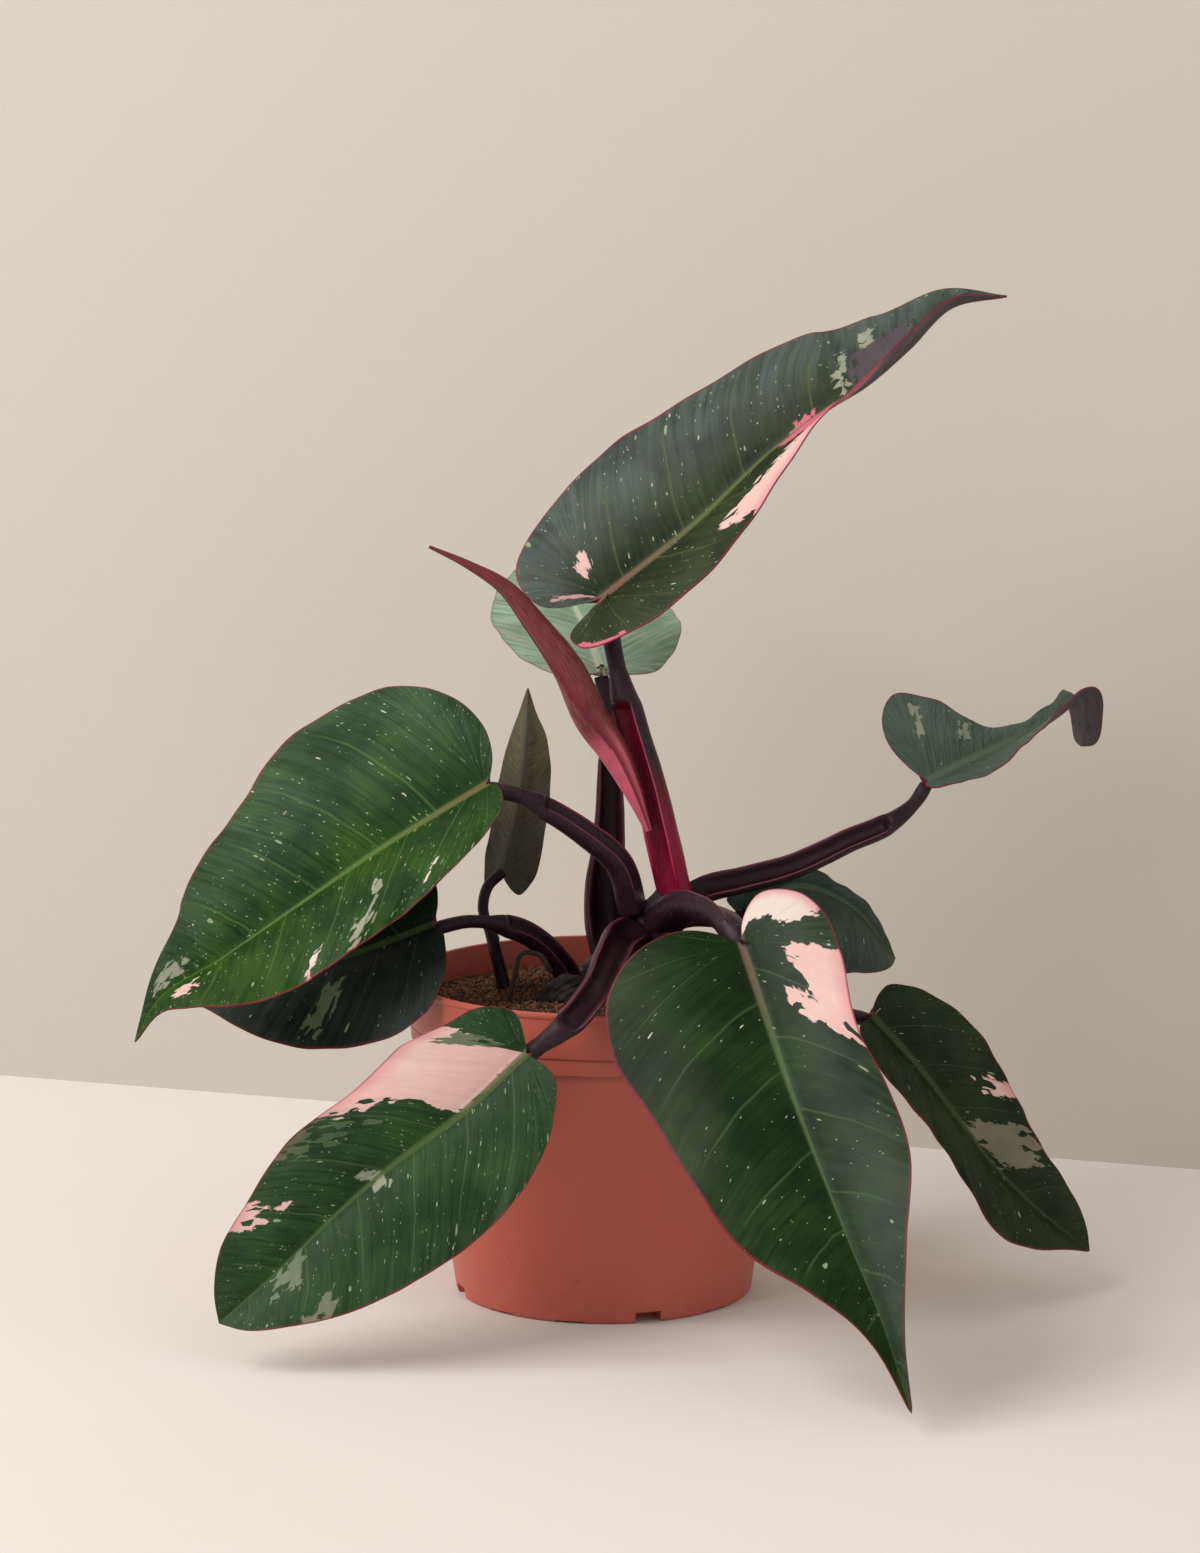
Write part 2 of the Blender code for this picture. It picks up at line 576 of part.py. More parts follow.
def build_pot(group, cutters):
    band = POT_HEIGHT - RIM_BAND
    floor = UNDER_RECESS + POT_FLOOR
    profile = [
        (0.0, floor),
        (wall_radius(floor) - POT_WALL, floor),
        (BODY_TOP_RADIUS - POT_WALL, band),
        (RIM_RADIUS - RIM_LIP, band + 2.0),
        (RIM_RADIUS - RIM_LIP, POT_HEIGHT - 0.5),
        (RIM_RADIUS - RIM_LIP + 0.5, POT_HEIGHT),
        (RIM_RADIUS - 0.5, POT_HEIGHT),
        (RIM_RADIUS, POT_HEIGHT - 0.6),
        (RIM_RADIUS - 0.1, POT_HEIGHT - 2.0),
        (RIM_RADIUS - 0.8, POT_HEIGHT - 2.3),
        (BAND_FOOT_RADIUS + 0.5, band + 6.6),
        (BAND_FOOT_RADIUS, band + 6.0),
        (BAND_FOOT_RADIUS - 0.3, band + 0.8),
        (BAND_FOOT_RADIUS - 0.9, band),
        (BODY_TOP_RADIUS, band - 0.6),
        (BASE_RADIUS + 0.2, 1.2),
        (BASE_RADIUS - 0.8, 0.0),
        (FOOT_RING_INNER, 0.0),
        (FOOT_RING_INNER - 1.0, UNDER_RECESS),
        (PAD_RADIUS + 1.0, UNDER_RECESS),
        (PAD_RADIUS, 0.0),
        (0.0, 0.0),
    ]
    pot = turned("pot", profile, POT_SEGMENTS, group, make_material("terracotta plastic", TERRACOTTA, 0.5))
    for k in range(FOOT_SLOTS):
        angle = math.radians(FIRST_SLOT_ANGLE + k * 360.0 / FOOT_SLOTS)
        width, height = DEEP_SLOT if k % DEEP_SLOT_EVERY == 0 else SHALLOW_SLOT
        bpy.ops.mesh.primitive_cube_add(size=1.0)
        cutter = bpy.context.active_object
        cutter.name = f"foot_slot_{k}"
        cutter.scale = (width * MM, SLOT_REACH * MM, 2 * height * MM)
        cutter.rotation_euler = (0.0, 0.0, angle)
        middle = BASE_RADIUS - 1.0
        cutter.location = (middle * math.sin(angle) * MM, -middle * math.cos(angle) * MM, 0.0)
        for owner in list(cutter.users_collection):
            owner.objects.unlink(cutter)
        cutters.objects.link(cutter)
        hide_helper(cutter)
        cut(pot, cutter)
    settle(pot)
    smooth_shade(pot)
    return pot


def soil_height(x, y, radius):
    """Top of the soil, in millimetres: a low mound with soft lumps."""
    share = np.clip(np.hypot(x, y) / radius, 0, 1)
    lumps = np.sin(x / 7.0 + 1.0) * np.cos(y / 8.5) + 0.6 * np.sin((x + y) / 4.7)
    return SOIL_EDGE_HEIGHT + SOIL_MOUND * (1 - share**2) + SOIL_BUMP * lumps * (1 - share**6)


def build_soil(group):
    top_radius = RIM_RADIUS - RIM_LIP - GAP
    neck = POT_HEIGHT - RIM_BAND
    floor = UNDER_RECESS + POT_FLOOR + GAP
    steps = np.linspace(0.0, 1.0, SOIL_RINGS + 1)
    profile = [(top_radius * s, SOIL_EDGE_HEIGHT) for s in steps]
    profile += [
        (top_radius, neck + 2.0 + GAP),
        (BODY_TOP_RADIUS - POT_WALL - GAP, neck + GAP),
        (wall_radius(floor) - POT_WALL - 2 * GAP, floor),
        (0.0, floor),
    ]
    soil = turned("soil", profile, POT_SEGMENTS, group, make_material("coir soil", SOIL_BROWN, 0.95))
    settle(soil)
    for vertex in soil.data.vertices:
        x, y, z = (c / MM for c in vertex.co)
        if z > SOIL_EDGE_HEIGHT - 0.5:
            vertex.co.z = soil_height(x, y, top_radius) * MM
    smooth_shade(soil)
    return soil


def stem_swell(share, _angle):
    """Rings of old leaf scars round the stem."""
    return 1.0 + STEM_NODE_RISE * math.cos(2 * math.pi * STEM_NODES * share) ** 4


def build_stem(name, group, material=None, grown=0.0):
    radii = [r + grown for r in STEM_RADII]
    rings = round_rings(STEM, radii, STEM_SIDES, STEM_RINGS, stem_swell)
    if grown:
        rings[-1] = rings[-1] + np.array((0.0, 0.0, grown))
    stem = add_object(name, loft(name, rings), group, material)
    smooth_shade(stem)
    return stem


def rolled_edge(_share, angle):
    """The free edge of the rolled leaf stands a little proud along one line."""
    turn = (angle / (2 * math.pi)) % 1.0
    return 1.0 - ROLLED_EDGE * turn


def build_rolled_leaf(name, group, material=None, grown=0.0):
    radii = [r + grown for r in ROLLED_RADII]
    rings = round_rings(ROLLED_LEAF, radii, ROLLED_SIDES, ROLLED_STATIONS, rolled_edge)
    spear = add_object(name, loft(name, rings), group, material)
    smooth_shade(spear)
    return spear


def build_petiole(name, leaf, group, material=None, grown=0.0):
    mesh = loft(name, petiole_rings(leaf, PETIOLE_STATIONS, grown, filled=grown > 0))
    return add_object(name, mesh, group, material)


def build_blade(name, leaf, group, material=None):
    mesh, weights = blade_mesh(name, leaf, BLADE_ROWS, BLADE_COLUMNS)
    blade = add_object(name, mesh, group, material)
    thicken(blade, weights)
    return blade


def build_tube(name, line, radius, group, material):
    """A root: a smooth curve with a round bevel and filled caps, made a closed mesh."""
    curve = bpy.data.curves.new(name, "CURVE")
    curve.dimensions = "3D"
    curve.bevel_depth = radius * MM
    curve.bevel_resolution = 2
    curve.use_fill_caps = True
    places, _ = along(line, np.linspace(0, 1, 12))
    spline = curve.splines.new("POLY")
    spline.points.add(len(places) - 1)
    for point, place in zip(spline.points, places):
        point.co = (*(place * MM), 1.0)
    guide = bpy.data.objects.new(name + "_line", curve)
    group.objects.link(guide)
    bpy.context.view_layer.update()
    graph = bpy.context.evaluated_depsgraph_get()
    mesh = bpy.data.meshes.new_from_object(guide.evaluated_get(graph))
    work = bmesh.new()
    work.from_mesh(mesh)
    bmesh.ops.remove_doubles(work, verts=work.verts, dist=1e-6)
    bmesh.ops.triangulate(work, faces=work.faces)
    bmesh.ops.recalc_face_normals(work, faces=work.faces)
    work.to_mesh(mesh)
    work.free()
    bpy.data.objects.remove(guide)
    mesh.materials.clear()
    tube = add_object(name, mesh, group, material)
    smooth_shade(tube)
    return tube


def crumpled(_share, angle):
    """The dried sheath is folded into three soft ridges."""
    return 1.0 - DRY_SHEATH_FOLD + DRY_SHEATH_FOLD * math.cos(3 * angle)


def build_dry_sheath(name, group, material=None, grown=0.0):
    radii = [r + grown for r in DRY_SHEATH_RADII]
    rings = round_rings(DRY_SHEATH, radii, DRY_SHEATH_SIDES, DRY_SHEATH_RINGS, crumpled)
    sheath = add_object(name, loft(name, rings), group, material)
    smooth_shade(sheath)
    return sheath


def clear_scene():
    for obj in list(bpy.data.objects):
        bpy.data.objects.remove(obj)


def main():
    clear_scene()
    plant = collection("pink_princess_philodendron")
    cutters = collection("cutters")
    purple = make_material("petiole purple", PETIOLE_PURPLE, 0.45)
    crimson = make_material("petiole crimson", PETIOLE_CRIMSON, 0.4)
    green = make_material("blade green", BLADE_GREEN, 0.35)
    dark = make_material("blade dark green", BLADE_DARK, 0.35)
    olive = make_material("blade olive underside", BLADE_OLIVE, 0.45)
    bark = make_material("stem purple", STEM_PURPLE, 0.55)
    root = make_material("root brown", ROOT_BROWN, 0.8)
    blade_finish = {"small_back": olive, "newest": dark, "front": dark, "right_low": dark}

    build_pot(plant, cutters)
    soil = build_soil(plant)
    build_stem("stem", plant, bark)
    stem_cutter = build_stem("stem_seat", cutters, grown=GAP)
    hide_helper(stem_cutter)
    build_rolled_leaf("rolled_leaf", plant, make_material("rolled leaf rose", ROLLED_ROSE, 0.4))
    rolled_cutter = build_rolled_leaf("rolled_leaf_seat", cutters, grown=GAP)
    hide_helper(rolled_cutter)

    placed = [stem_cutter, rolled_cutter]
    soil_cutters = [stem_cutter]
    for key, leaf in LEAVES.items():
        build_blade("blade_" + key, leaf, plant, blade_finish.get(key, green))
        petiole = build_petiole("petiole_" + key, leaf, plant, crimson if key == "newest" else purple)
        for cutter in placed:
            if near(petiole, cutter):
                cut(petiole, cutter)
        seat = build_petiole("petiole_seat_" + key, leaf, cutters, grown=GAP)
        hide_helper(seat)
        placed.append(seat)
        if key in FROM_SOIL:
            soil_cutters.append(seat)
        settle(petiole)
        smooth_shade(petiole)

    sheath = build_dry_sheath("dry_sheath", plant, bark)
    for cutter in placed:
        if near(sheath, cutter):
            cut(sheath, cutter)
    settle(sheath)
    sheath_cutter = build_dry_sheath("dry_sheath_seat", cutters, grown=GAP)
    hide_helper(sheath_cutter)
    placed.append(sheath_cutter)
    soil_cutters.append(sheath_cutter)
    for name, sizes in ROOTS.items():
        tube = build_tube(name, sizes["line"], sizes["radius"], plant, root)
        seat = build_tube(name + "_seat", sizes["line"], sizes["radius"] + GAP, cutters, None)
        hide_helper(seat)
        for cutter in placed:
            if near(tube, cutter):
                cut(tube, cutter)
        settle(tube)
        soil_cutters.append(seat)
    for cutter in soil_cutters:
        cut(soil, cutter)
    settle(soil)


if __name__ == "__main__":
    main()
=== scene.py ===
"""Pink princess philodendron in its nursery pot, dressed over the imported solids.

Lengths in the tables are millimetres from the middle of the pot's underside; MM turns them into metres.
X runs to the right, Y to the back and Z up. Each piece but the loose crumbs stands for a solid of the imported
model and repeats its named sizes.
"""

import math

import bmesh
import bpy
import numpy as np
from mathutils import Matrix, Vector


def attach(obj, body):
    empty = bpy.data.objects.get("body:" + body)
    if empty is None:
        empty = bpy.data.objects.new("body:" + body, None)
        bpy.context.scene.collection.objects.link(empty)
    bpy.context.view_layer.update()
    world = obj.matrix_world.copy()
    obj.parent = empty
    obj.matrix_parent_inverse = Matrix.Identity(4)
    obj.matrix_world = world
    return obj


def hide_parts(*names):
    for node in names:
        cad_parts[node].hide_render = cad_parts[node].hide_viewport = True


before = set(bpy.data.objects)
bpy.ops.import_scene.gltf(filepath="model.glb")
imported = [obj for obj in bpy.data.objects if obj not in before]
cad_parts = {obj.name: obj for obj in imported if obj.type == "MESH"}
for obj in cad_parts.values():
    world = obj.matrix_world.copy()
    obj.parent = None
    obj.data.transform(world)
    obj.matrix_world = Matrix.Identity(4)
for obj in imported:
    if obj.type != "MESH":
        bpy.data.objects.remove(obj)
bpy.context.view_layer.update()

bl_info = {
    "name": "Pink Princess Philodendron",
    "version": (1, 0, 0),
    "blender": (4, 5, 0),
    "location": "3D View > Sidebar > Plant",
    "description": "Builds a potted pink princess philodendron leaf by leaf",
    "category": "Object",
}

MM = 0.001
FULL_TURN = 6.2832

POT_HEIGHT = 121.2
RIM_RADIUS = 75.0
RIM_BAND = 23.5
RIM_LIP = 2.0
GROOVE_RISE = 6.0
BAND_FOOT_RADIUS = 73.2
BODY_TOP_RADIUS = 70.6
BASE_RADIUS = 56.2
POT_WALL = 2.0
POT_FLOOR = 2.6
FOOT_RING_INNER = 47.0
PAD_RADIUS = 30.0
UNDER_RECESS = 2.2
POT_SEGMENTS = 160
INSIDE_RINGS = 8
OUTSIDE_RINGS = 10
POT_SHARP_ANGLE = 35.0

# Rounded corners of the pot, as steps out and up from the corner that each one rounds.
FLOOR_INSIDE = ((-1.2, 0.0),)
SHOULDER_INSIDE = ((0.0, -0.4), (0.5, 0.3))
RIM_FOOT_INSIDE = ((-0.5, 1.8), (0.0, 2.4))
RIM_TOP_INSIDE = ((0.0, -0.6), (0.2, -0.15), (0.6, 0.0))
RIM_TOP_OUTSIDE = ((-0.6, 0.0), (-0.15, -0.2), (0.0, -0.7), (-0.05, -1.8), (-0.35, -2.2), (-0.8, -2.4))
GROOVE = ((0.65, 1.0), (0.5, 0.6), (-0.25, 0.2), (-0.25, -0.3), (-0.05, -0.6))
BAND_FOOT = ((-0.25, 1.0), (-0.4, 0.3), (-0.9, 0.0))
SHOULDER_OUTSIDE = ((0.4, -0.3),)
FOOT_OUTSIDE = ((0.25, 1.2), (-0.1, 0.4), (-0.8, 0.0))
FOOT_INSIDE = ((0.4, 0.0), (0.0, 0.3))

FOOT_SLOTS = 12
FIRST_SLOT_ANGLE = 17.0
DEEP_SLOT_EVERY = 3
DEEP_SLOT = (10.0, 4.2)
SHALLOW_SLOT = (11.0, 0.9)
SLOT_REACH = 16.0

SOIL_EDGE_HEIGHT = 109.5
SOIL_MOUND = 4.5
SOIL_BUMP = 0.7
SOIL_RINGS = 60
SOIL_SEGMENTS = 180
SOIL_GAP = 0.3
SOIL_CRUMBLE = 0.45
CRUMB_FREE_EDGE = 2.2

# Sizes in metres and counts on each square metre, as Geometry Nodes take them.
CRUMB_DENSITY = 4.2e5
CRUMB_SIZE = 0.0011
CRUMB_DENTS = 0.0007
FIBRE_DENSITY = 4.0e4
FIBRE_LENGTH = 0.008
FIBRE_THICKNESS = 0.0001

BLADE_ROWS = 120
BLADE_COLUMNS = 22
COLUMN_CROWDING = 1.25
MIDRIB_THICKNESS = 2.6
MIDRIB_SPREAD = 2.2
LOBE_SHARE = 0.34
VEIN_LEAN = 1.1
VEIN_BEND = (0.38, 0.56)
CURL_LENGTH = 40.0
TANGENT_STEP = 0.6
BLADE_SHARP_ANGLE = 60.0

# Fine ripple of a blade's edge: its depth, and its count as a multiple of the main wave's.
FRILL_DEPTH = 0.35
FRILL_WAVES = 3.3

# Relief between two side veins, as shares of the vein relief and of the way from vein to vein: its level, the
# half width of the groove along a vein, and the depth and half width of the dip half way. It fades out where
# the blade is narrower than the last value.
QUILT_LEVEL = 0.6
QUILT_GROOVE = 0.10
QUILT_DIP = (0.4, 0.2)
QUILT_FADE = 8.0

# The rounded line over the midrib and the hollow on each side of it: height and half width, then depth,
# distance out and half width.
MIDRIB_RIDGE = (0.45, 1.1)
MIDRIB_HOLLOW = (0.35, 2.4, 1.3)

# The right half's vein map is shifted, so that a sector can be on one half alone. The flat map holds
# millimetres divided by its scale.
RIGHT_HALF_SHIFT = 1.5
FLAT_MAP_SCALE = 100.0

SECTION_OUTER = 25
SECTION_INNER = 15
PETIOLE_STATIONS = 60
LIGULE_STATIONS = 9
CHANNEL_HALF_ANGLE = 118.0
LIGULE_LENGTH = 5.0
SHEATH_STARTS_OPEN = 0.35
SHEATH_OPENS_OVER = 0.12
WING_SPREAD = 0.12
WING_LIP = 0.10
LIP_FROM = 0.75
CHANNEL_FLOOR = 0.22
CHANNEL_ROUNDNESS = 2.6
CHANNEL_REACH = 0.92
NECK_LENGTH = 0.12
NECK_END = 0.95
NECK_SWELL = 1.05
JOINT_AT = 0.97
JOINT_SWELL = 1.15
PETIOLE_SEAT = 1.2
SKIN_WOBBLE = 0.012
SHEATH_EDGE_WIDTH = 0.8

# Each leaf: midrib points from the petiole's joint to the tip; where the blade's upper side faces at even
# steps along it, with how far its left and right halves fold up from flat; how each half curls towards its
# edge; the edge of each half, as distance along the midrib and distance out from it; and how its edge waves:
# depth, count and start.
# Its petiole: centre line from the crown out, radii at the base, the sheath's end and the joint, the share
# of its length that is an open sheath, and where the sheath opens.
LEAVES = {
    "newest": dict(
        midrib=((0, 5, 264), (32, 2, 290), (67, 0, 323), (84, 0, 336), (96, 1, 343), (113, 4, 357),
                (129, 8, 372), (150, 12, 376)),
        facing=((-0.4, -0.74, 0.54, 25, 30), (-0.4, -0.74, 0.54, 25, 30), (-0.45, -0.55, 0.7, 30, 30),
                (-0.5, -0.15, 0.85, 42, 38), (-0.45, -0.05, 0.9, 40, 40)),
        curl=(-32, -28),
        left=((-8, 3), (-22, 13), (-23, 30), (-3, 45), (30, 51), (68, 46), (104, 40), (120, 36), (137, 30),
              (165, 14)),
        right=((-8, 2), (-18, 8), (-17, 17), (4, 29), (35, 31), (65, 25), (92, 18), (112, 14), (132, 17),
               (165, 8)),
        wave=(1.2, 3.0, 0.3),
        petiole=((27, 0, 150), (22, -2, 173), (17, -2, 194), (11, 0, 214), (6, 3, 233), (3, 7, 248),
                 (0, 6, 262)),
        radii=(6.6, 5.6, 3.1), sheath=(0.03, 0.66), opens=(-0.75, -0.65, 0.1)),
    "left": dict(
        midrib=((-44, -15, 196), (-85, -25, 172), (-113, -35, 154), (-141, -45, 136), (-164, -55, 122),
                (-172, -60, 108)),
        facing=((-0.12, -0.8, 0.58, 40, 14), (-0.12, -0.8, 0.58, 40, 14), (-0.12, -0.8, 0.58, 40, 20)),
        curl=(-36, -26),
        left=((-2, 2), (-3, 8), (0, 18), (11, 26), (29, 33), (62, 38), (95, 38), (120, 33), (142, 17),
              (152, 5)),
        right=((-5, 4), (-11, 16), (-10, 34), (-1, 51), (18, 67), (41, 69), (72, 53), (105, 36), (132, 16),
               (149, 4)),
        wave=(1.3, 4.0, 1.0),
        petiole=((12, -2, 146), (6, -6, 165), (-7, -9, 177), (-22, -12, 187), (-33, -13, 192),
                 (-44, -13, 195)),
        radii=(6.6, 4.6, 2.8), sheath=(0.04, 0.72), opens=(0.35, -0.3, 0.88)),
    "left_low": dict(
        midrib=((-64, -21, 144), (-94, -18, 132), (-128, -13, 123), (-163, -7, 116)),
        facing=((-0.1, -0.75, 0.65, 25, 25), (-0.1, -0.75, 0.65, 25, 25)),
        curl=(-30, -30),
        left=((-3, 4), (-4, 14), (-2, 26), (7, 37), (24, 44), (45, 41), (68, 31), (88, 14)),
        right=((-3, 4), (-6, 12), (-5, 22), (6, 31), (22, 36), (45, 33), (68, 23), (88, 11)),
        wave=(1.0, 3.0, 0.0),
        petiole=((-8, 4, 106), (-15, 2, 123), (-28, -3, 137), (-40, -9, 142), (-52, -15, 144),
                 (-64, -20, 143)),
        radii=(5.6, 4.4, 2.3), sheath=(0.05, 0.62), opens=(0.5, -0.35, 0.8)),
    "front_left": dict(
        midrib=((-28, -88, 110), (-52, -92, 88), (-75, -98, 72), (-98, -105, 53), (-115, -110, 37),
                (-138, -115, 17)),
        facing=((-0.05, -0.93, 0.36, 22, 22), (-0.05, -0.93, 0.36, 22, 22)),
        curl=(-30, -30),
        left=((-1, 4), (-2, 14), (8, 25), (24, 34), (50, 41), (79, 40), (105, 33), (127, 20), (142, 8)),
        right=((-3, 4), (-7, 14), (1, 24), (14, 28), (33, 33), (60, 30), (86, 31), (108, 26), (130, 19),
               (142, 8)),
        wave=(1.2, 3.5, 0.8),
        petiole=((14, -3, 138), (7, -22, 140), (2, -46, 136), (-5, -76, 128), (-12, -84, 121),
                 (-27, -87, 111)),
        radii=(6.2, 4.8, 3.0), sheath=(0.05, 0.84), opens=(0.55, -0.25, 0.8)),
    "front": dict(
        midrib=((50, -72, 147), (58, -92, 125), (67, -117, 101), (77, -137, 77), (86, -160, 57),
                (95, -180, 38), (105, -199, 9)),
        facing=((-0.05, -0.75, 0.66, 36, 12), (-0.05, -0.75, 0.66, 36, 12), (-0.05, -0.75, 0.66, 40, 30)),
        curl=(-36, -26),
        left=((-8, 3), (-15, 12), (-9, 27), (2, 33), (20, 34), (50, 31), (80, 34), (110, 32), (140, 20),
              (172, 6)),
        right=((-6, 8), (-11, 22), (-7, 40), (5, 53), (28, 58), (56, 51), (90, 44), (120, 37), (145, 21),
               (172, 6)),
        wave=(1.2, 3.0, 2.0),
        petiole=((20, -3, 140), (30, -16, 150), (38, -34, 153), (45, -52, 152), (50, -70, 147)),
        radii=(7.0, 5.4, 2.9), sheath=(0.05, 0.86), opens=(0.45, 0.2, 0.87)),
    "right_low": dict(
        midrib=((100, -35, 112), (115, -32, 95), (133, -28, 71), (146, -24, 53), (162, -20, 36),
                (184, -15, 17)),
        facing=((0.61, -0.68, 0.4, 25, 25), (0.61, -0.68, 0.4, 25, 25)),
        curl=(-30, -30),
        left=((-3, 4), (-4, 12), (4, 20), (18, 26), (37, 29), (60, 27), (85, 20), (108, 15), (122, 7)),
        right=((-2, 4), (-4, 12), (6, 19), (25, 22), (48, 20), (70, 24), (87, 28), (103, 21), (119, 8)),
        wave=(0.9, 3.0, 1.5),
        petiole=((18, -2, 134), (32, -22, 138), (45, -43, 136), (57, -58, 129), (72, -52, 122),
                 (86, -41, 115), (100, -35, 111)),
        radii=(5.0, 3.8, 2.4), sheath=(0.05, 0.55), opens=(0.2, 0.0, 1.0)),
    "right_back": dict(
        midrib=((54, 20, 141), (75, 30, 149), (95, 38, 140), (113, 44, 118)),
        facing=((0.1, -0.6, 0.8, 20, 20), (0.3, -0.6, 0.7, 20, 20), (0.7, -0.5, 0.5, 20, 20)),
        curl=(-30, -36),
        left=((-3, 3), (-4, 7), (5, 10), (20, 10), (38, 7), (56, 5), (70, 3)),
        right=((-4, 5), (-7, 16), (4, 27), (22, 35), (44, 40), (62, 30), (74, 12)),
        wave=(0.8, 3.0, 0.0),
        petiole=((24, 6, 140), (33, 10, 141), (43, 17, 139), (54, 23, 137)),
        radii=(4.4, 3.4, 2.3), sheath=(0.05, 0.6), opens=(-0.2, 0.0, 1.0)),
    "right_high": dict(
        midrib=((123, 20, 192), (136, 28, 197), (151, 38, 202), (167, 47, 208), (178, 54, 214),
                (184, 60, 218), (186, 63, 210), (186, 64, 198)),
        facing=((-0.3, -0.8, 0.5, 25, 25), (-0.2, -0.75, 0.6, 25, 25), (-0.1, -0.3, 0.9, 35, 35),
                (0.1, 0.3, 0.7, 30, 30), (0.5, 0.5, 0.3, 25, 25)),
        curl=(-26, -26),
        left=((-3, 5), (-6, 16), (-2, 29), (9, 37), (22, 27), (36, 10), (50, 5), (66, 6), (86, 8), (98, 4)),
        right=((-2, 2), (-2, 5), (7, 9), (20, 13), (42, 11), (64, 8), (86, 8), (98, 4)),
        wave=(1.0, 3.0, 0.5),
        petiole=((26, 4, 145), (38, 7, 152), (52, 10, 155), (72, 13, 160), (92, 15, 169), (112, 18, 178),
                 (119, 21, 184), (124, 24, 190)),
        radii=(5.0, 4.0, 2.4), sheath=(0.05, 0.8), opens=(-0.3, -0.75, 0.6)),
    "back_high": dict(
        midrib=((-1, 27, 233), (-5, 50, 241), (-11, 85, 249), (-18, 125, 256), (-24, 163, 262)),
        facing=((0.0, -0.3, 0.95, 14, 14), (0.0, -0.3, 0.95, 14, 14)),
        curl=(-26, -26),
        left=((-5, 6), (-6, 16), (6, 26), (24, 33), (52, 35), (85, 27), (115, 15), (134, 5)),
        right=((-6, 6), (-9, 17), (3, 27), (22, 35), (50, 37), (85, 29), (115, 16), (134, 5)),
        wave=(1.2, 3.5, 0.0),
        petiole=((4, 8, 122), (0, 15, 146), (2, 21, 170), (2, 24, 203), (1, 26, 222), (-1, 28, 232)),
        radii=(8.2, 3.9, 2.6), sheath=(0.05, 0.72), opens=(0.2, -0.97, 0.1)),
    "small_back": dict(
        midrib=((-38, 25, 155), (-33, 34, 178), (-30, 43, 202), (-29, 50, 223)),
        facing=((0.2, 0.95, -0.2, 20, 20), (0.2, 0.95, -0.2, 20, 20)),
        curl=(-20, -20),
        left=((-5, 3), (-7, 7), (-1, 11), (18, 12), (37, 11), (54, 8), (65, 3)),
        right=((-4, 3), (-6, 6), (2, 9), (18, 10), (37, 10), (54, 7), (65, 3)),
        wave=(0.5, 2.0, 0.0),
        petiole=((-34, 9, 96), (-38, 11, 116), (-42, 14, 131), (-46, 18, 144), (-44, 21, 151),
                 (-39, 26, 155)),
        radii=(3.2, 2.8, 1.9), sheath=(0.04, 0.52), opens=(0.9, -0.2, 0.2)),
}

# Centre line of the stem and its radius at each point.
STEM = ((-7, 3, 86), (-5, 2, 100), (-3, 1, 112), (2, 0, 122), (11, 0, 133), (20, 0, 143), (25, 0, 149))
STEM_RADII = (7.0, 8.4, 9.2, 9.0, 8.6, 8.0, 6.4)
STEM_SIDES = 56
STEM_RINGS = 90
STEM_NODE_RISE = 0.07
STEM_NODES = 3.0

# Centre line of the rolled new leaf, its radius at each point, and how far its free edge stands up. Its foot
# is slimmer, and its free edge faces the front low down and winds round to the left further up.
ROLLED_LEAF = ((17, -4, 177), (10, -5, 195), (4, -5, 207), (-4, -5, 219), (-13, -4, 238), (-26, -4, 256),
               (-37, -4, 269), (-50, -4, 277), (-65, -4, 284))
ROLLED_RADII = (3.2, 5.4, 6.6, 7.0, 6.2, 4.8, 3.4, 1.8, 0.6)
ROLLED_SIDES = 72
ROLLED_STATIONS = 110
ROLLED_EDGE = 0.14
ROLLED_SHARP_ANGLE = 40.0
ROLLED_FOOT = 0.55
ROLLED_FOOT_LENGTH = 0.34
EDGE_WINDS_FROM = 0.25
EDGE_WINDS_OVER = 0.4

ROOTS = {
    "root_long": dict(
        line=((-20, -9, 124), (-25, -11, 131), (-31, -12, 131), (-33, -12, 124), (-36, -12, 112),
              (-37, -11, 104)),
        radius=0.95),
    "root_short": dict(line=((-27, -14, 121), (-31, -15, 116), (-32, -15, 108), (-31, -14, 102)), radius=0.8),
}
ROOT_SIDES = 14
ROOT_RINGS = 60

DRY_SHEATH = ((-24, -14, 113), (-18, -15, 117), (-11, -15, 119), (-4, -14, 117))
DRY_SHEATH_RADII = (2.6, 5.0, 5.6, 3.0)
DRY_SHEATH_SIDES = 48
DRY_SHEATH_RINGS = 40

# The stage, in metres, apart from where the floor meets the wall at the left and right of the view, which is
# in millimetres. The lens is given by its focal length in pixels of a frame as high as IMAGE_HEIGHT.
WALL_FOOT = ((-274.0, 357.0), (250.0, 180.0))
WALL_REACH = 6.0
WALL_HEIGHT = 5.0
FLOOR_IN_FRONT = 9.0
FLOOR_BEHIND = 5.4
CAMERA_PLACE = (-0.00143, -1.8, 0.494)
CAMERA_DOWN = 9.38
FOCAL_PIXELS = 4857.0
IMAGE_HEIGHT = 1553.0
FILM_HEIGHT = 36.0
LIGHTS_AIM = (0.0, 0.0, 0.16)
KEY_LIGHT = dict(place=(-1.7, -0.85, 1.75), size=2.0, colour=(1.0, 0.985, 0.96))
FILL_LIGHT = dict(place=(1.5, -1.6, 0.9), size=1.8, colour=(0.96, 0.98, 1.0))
ROOM_LIGHT = (0.97, 0.98, 1.0, 1.0)

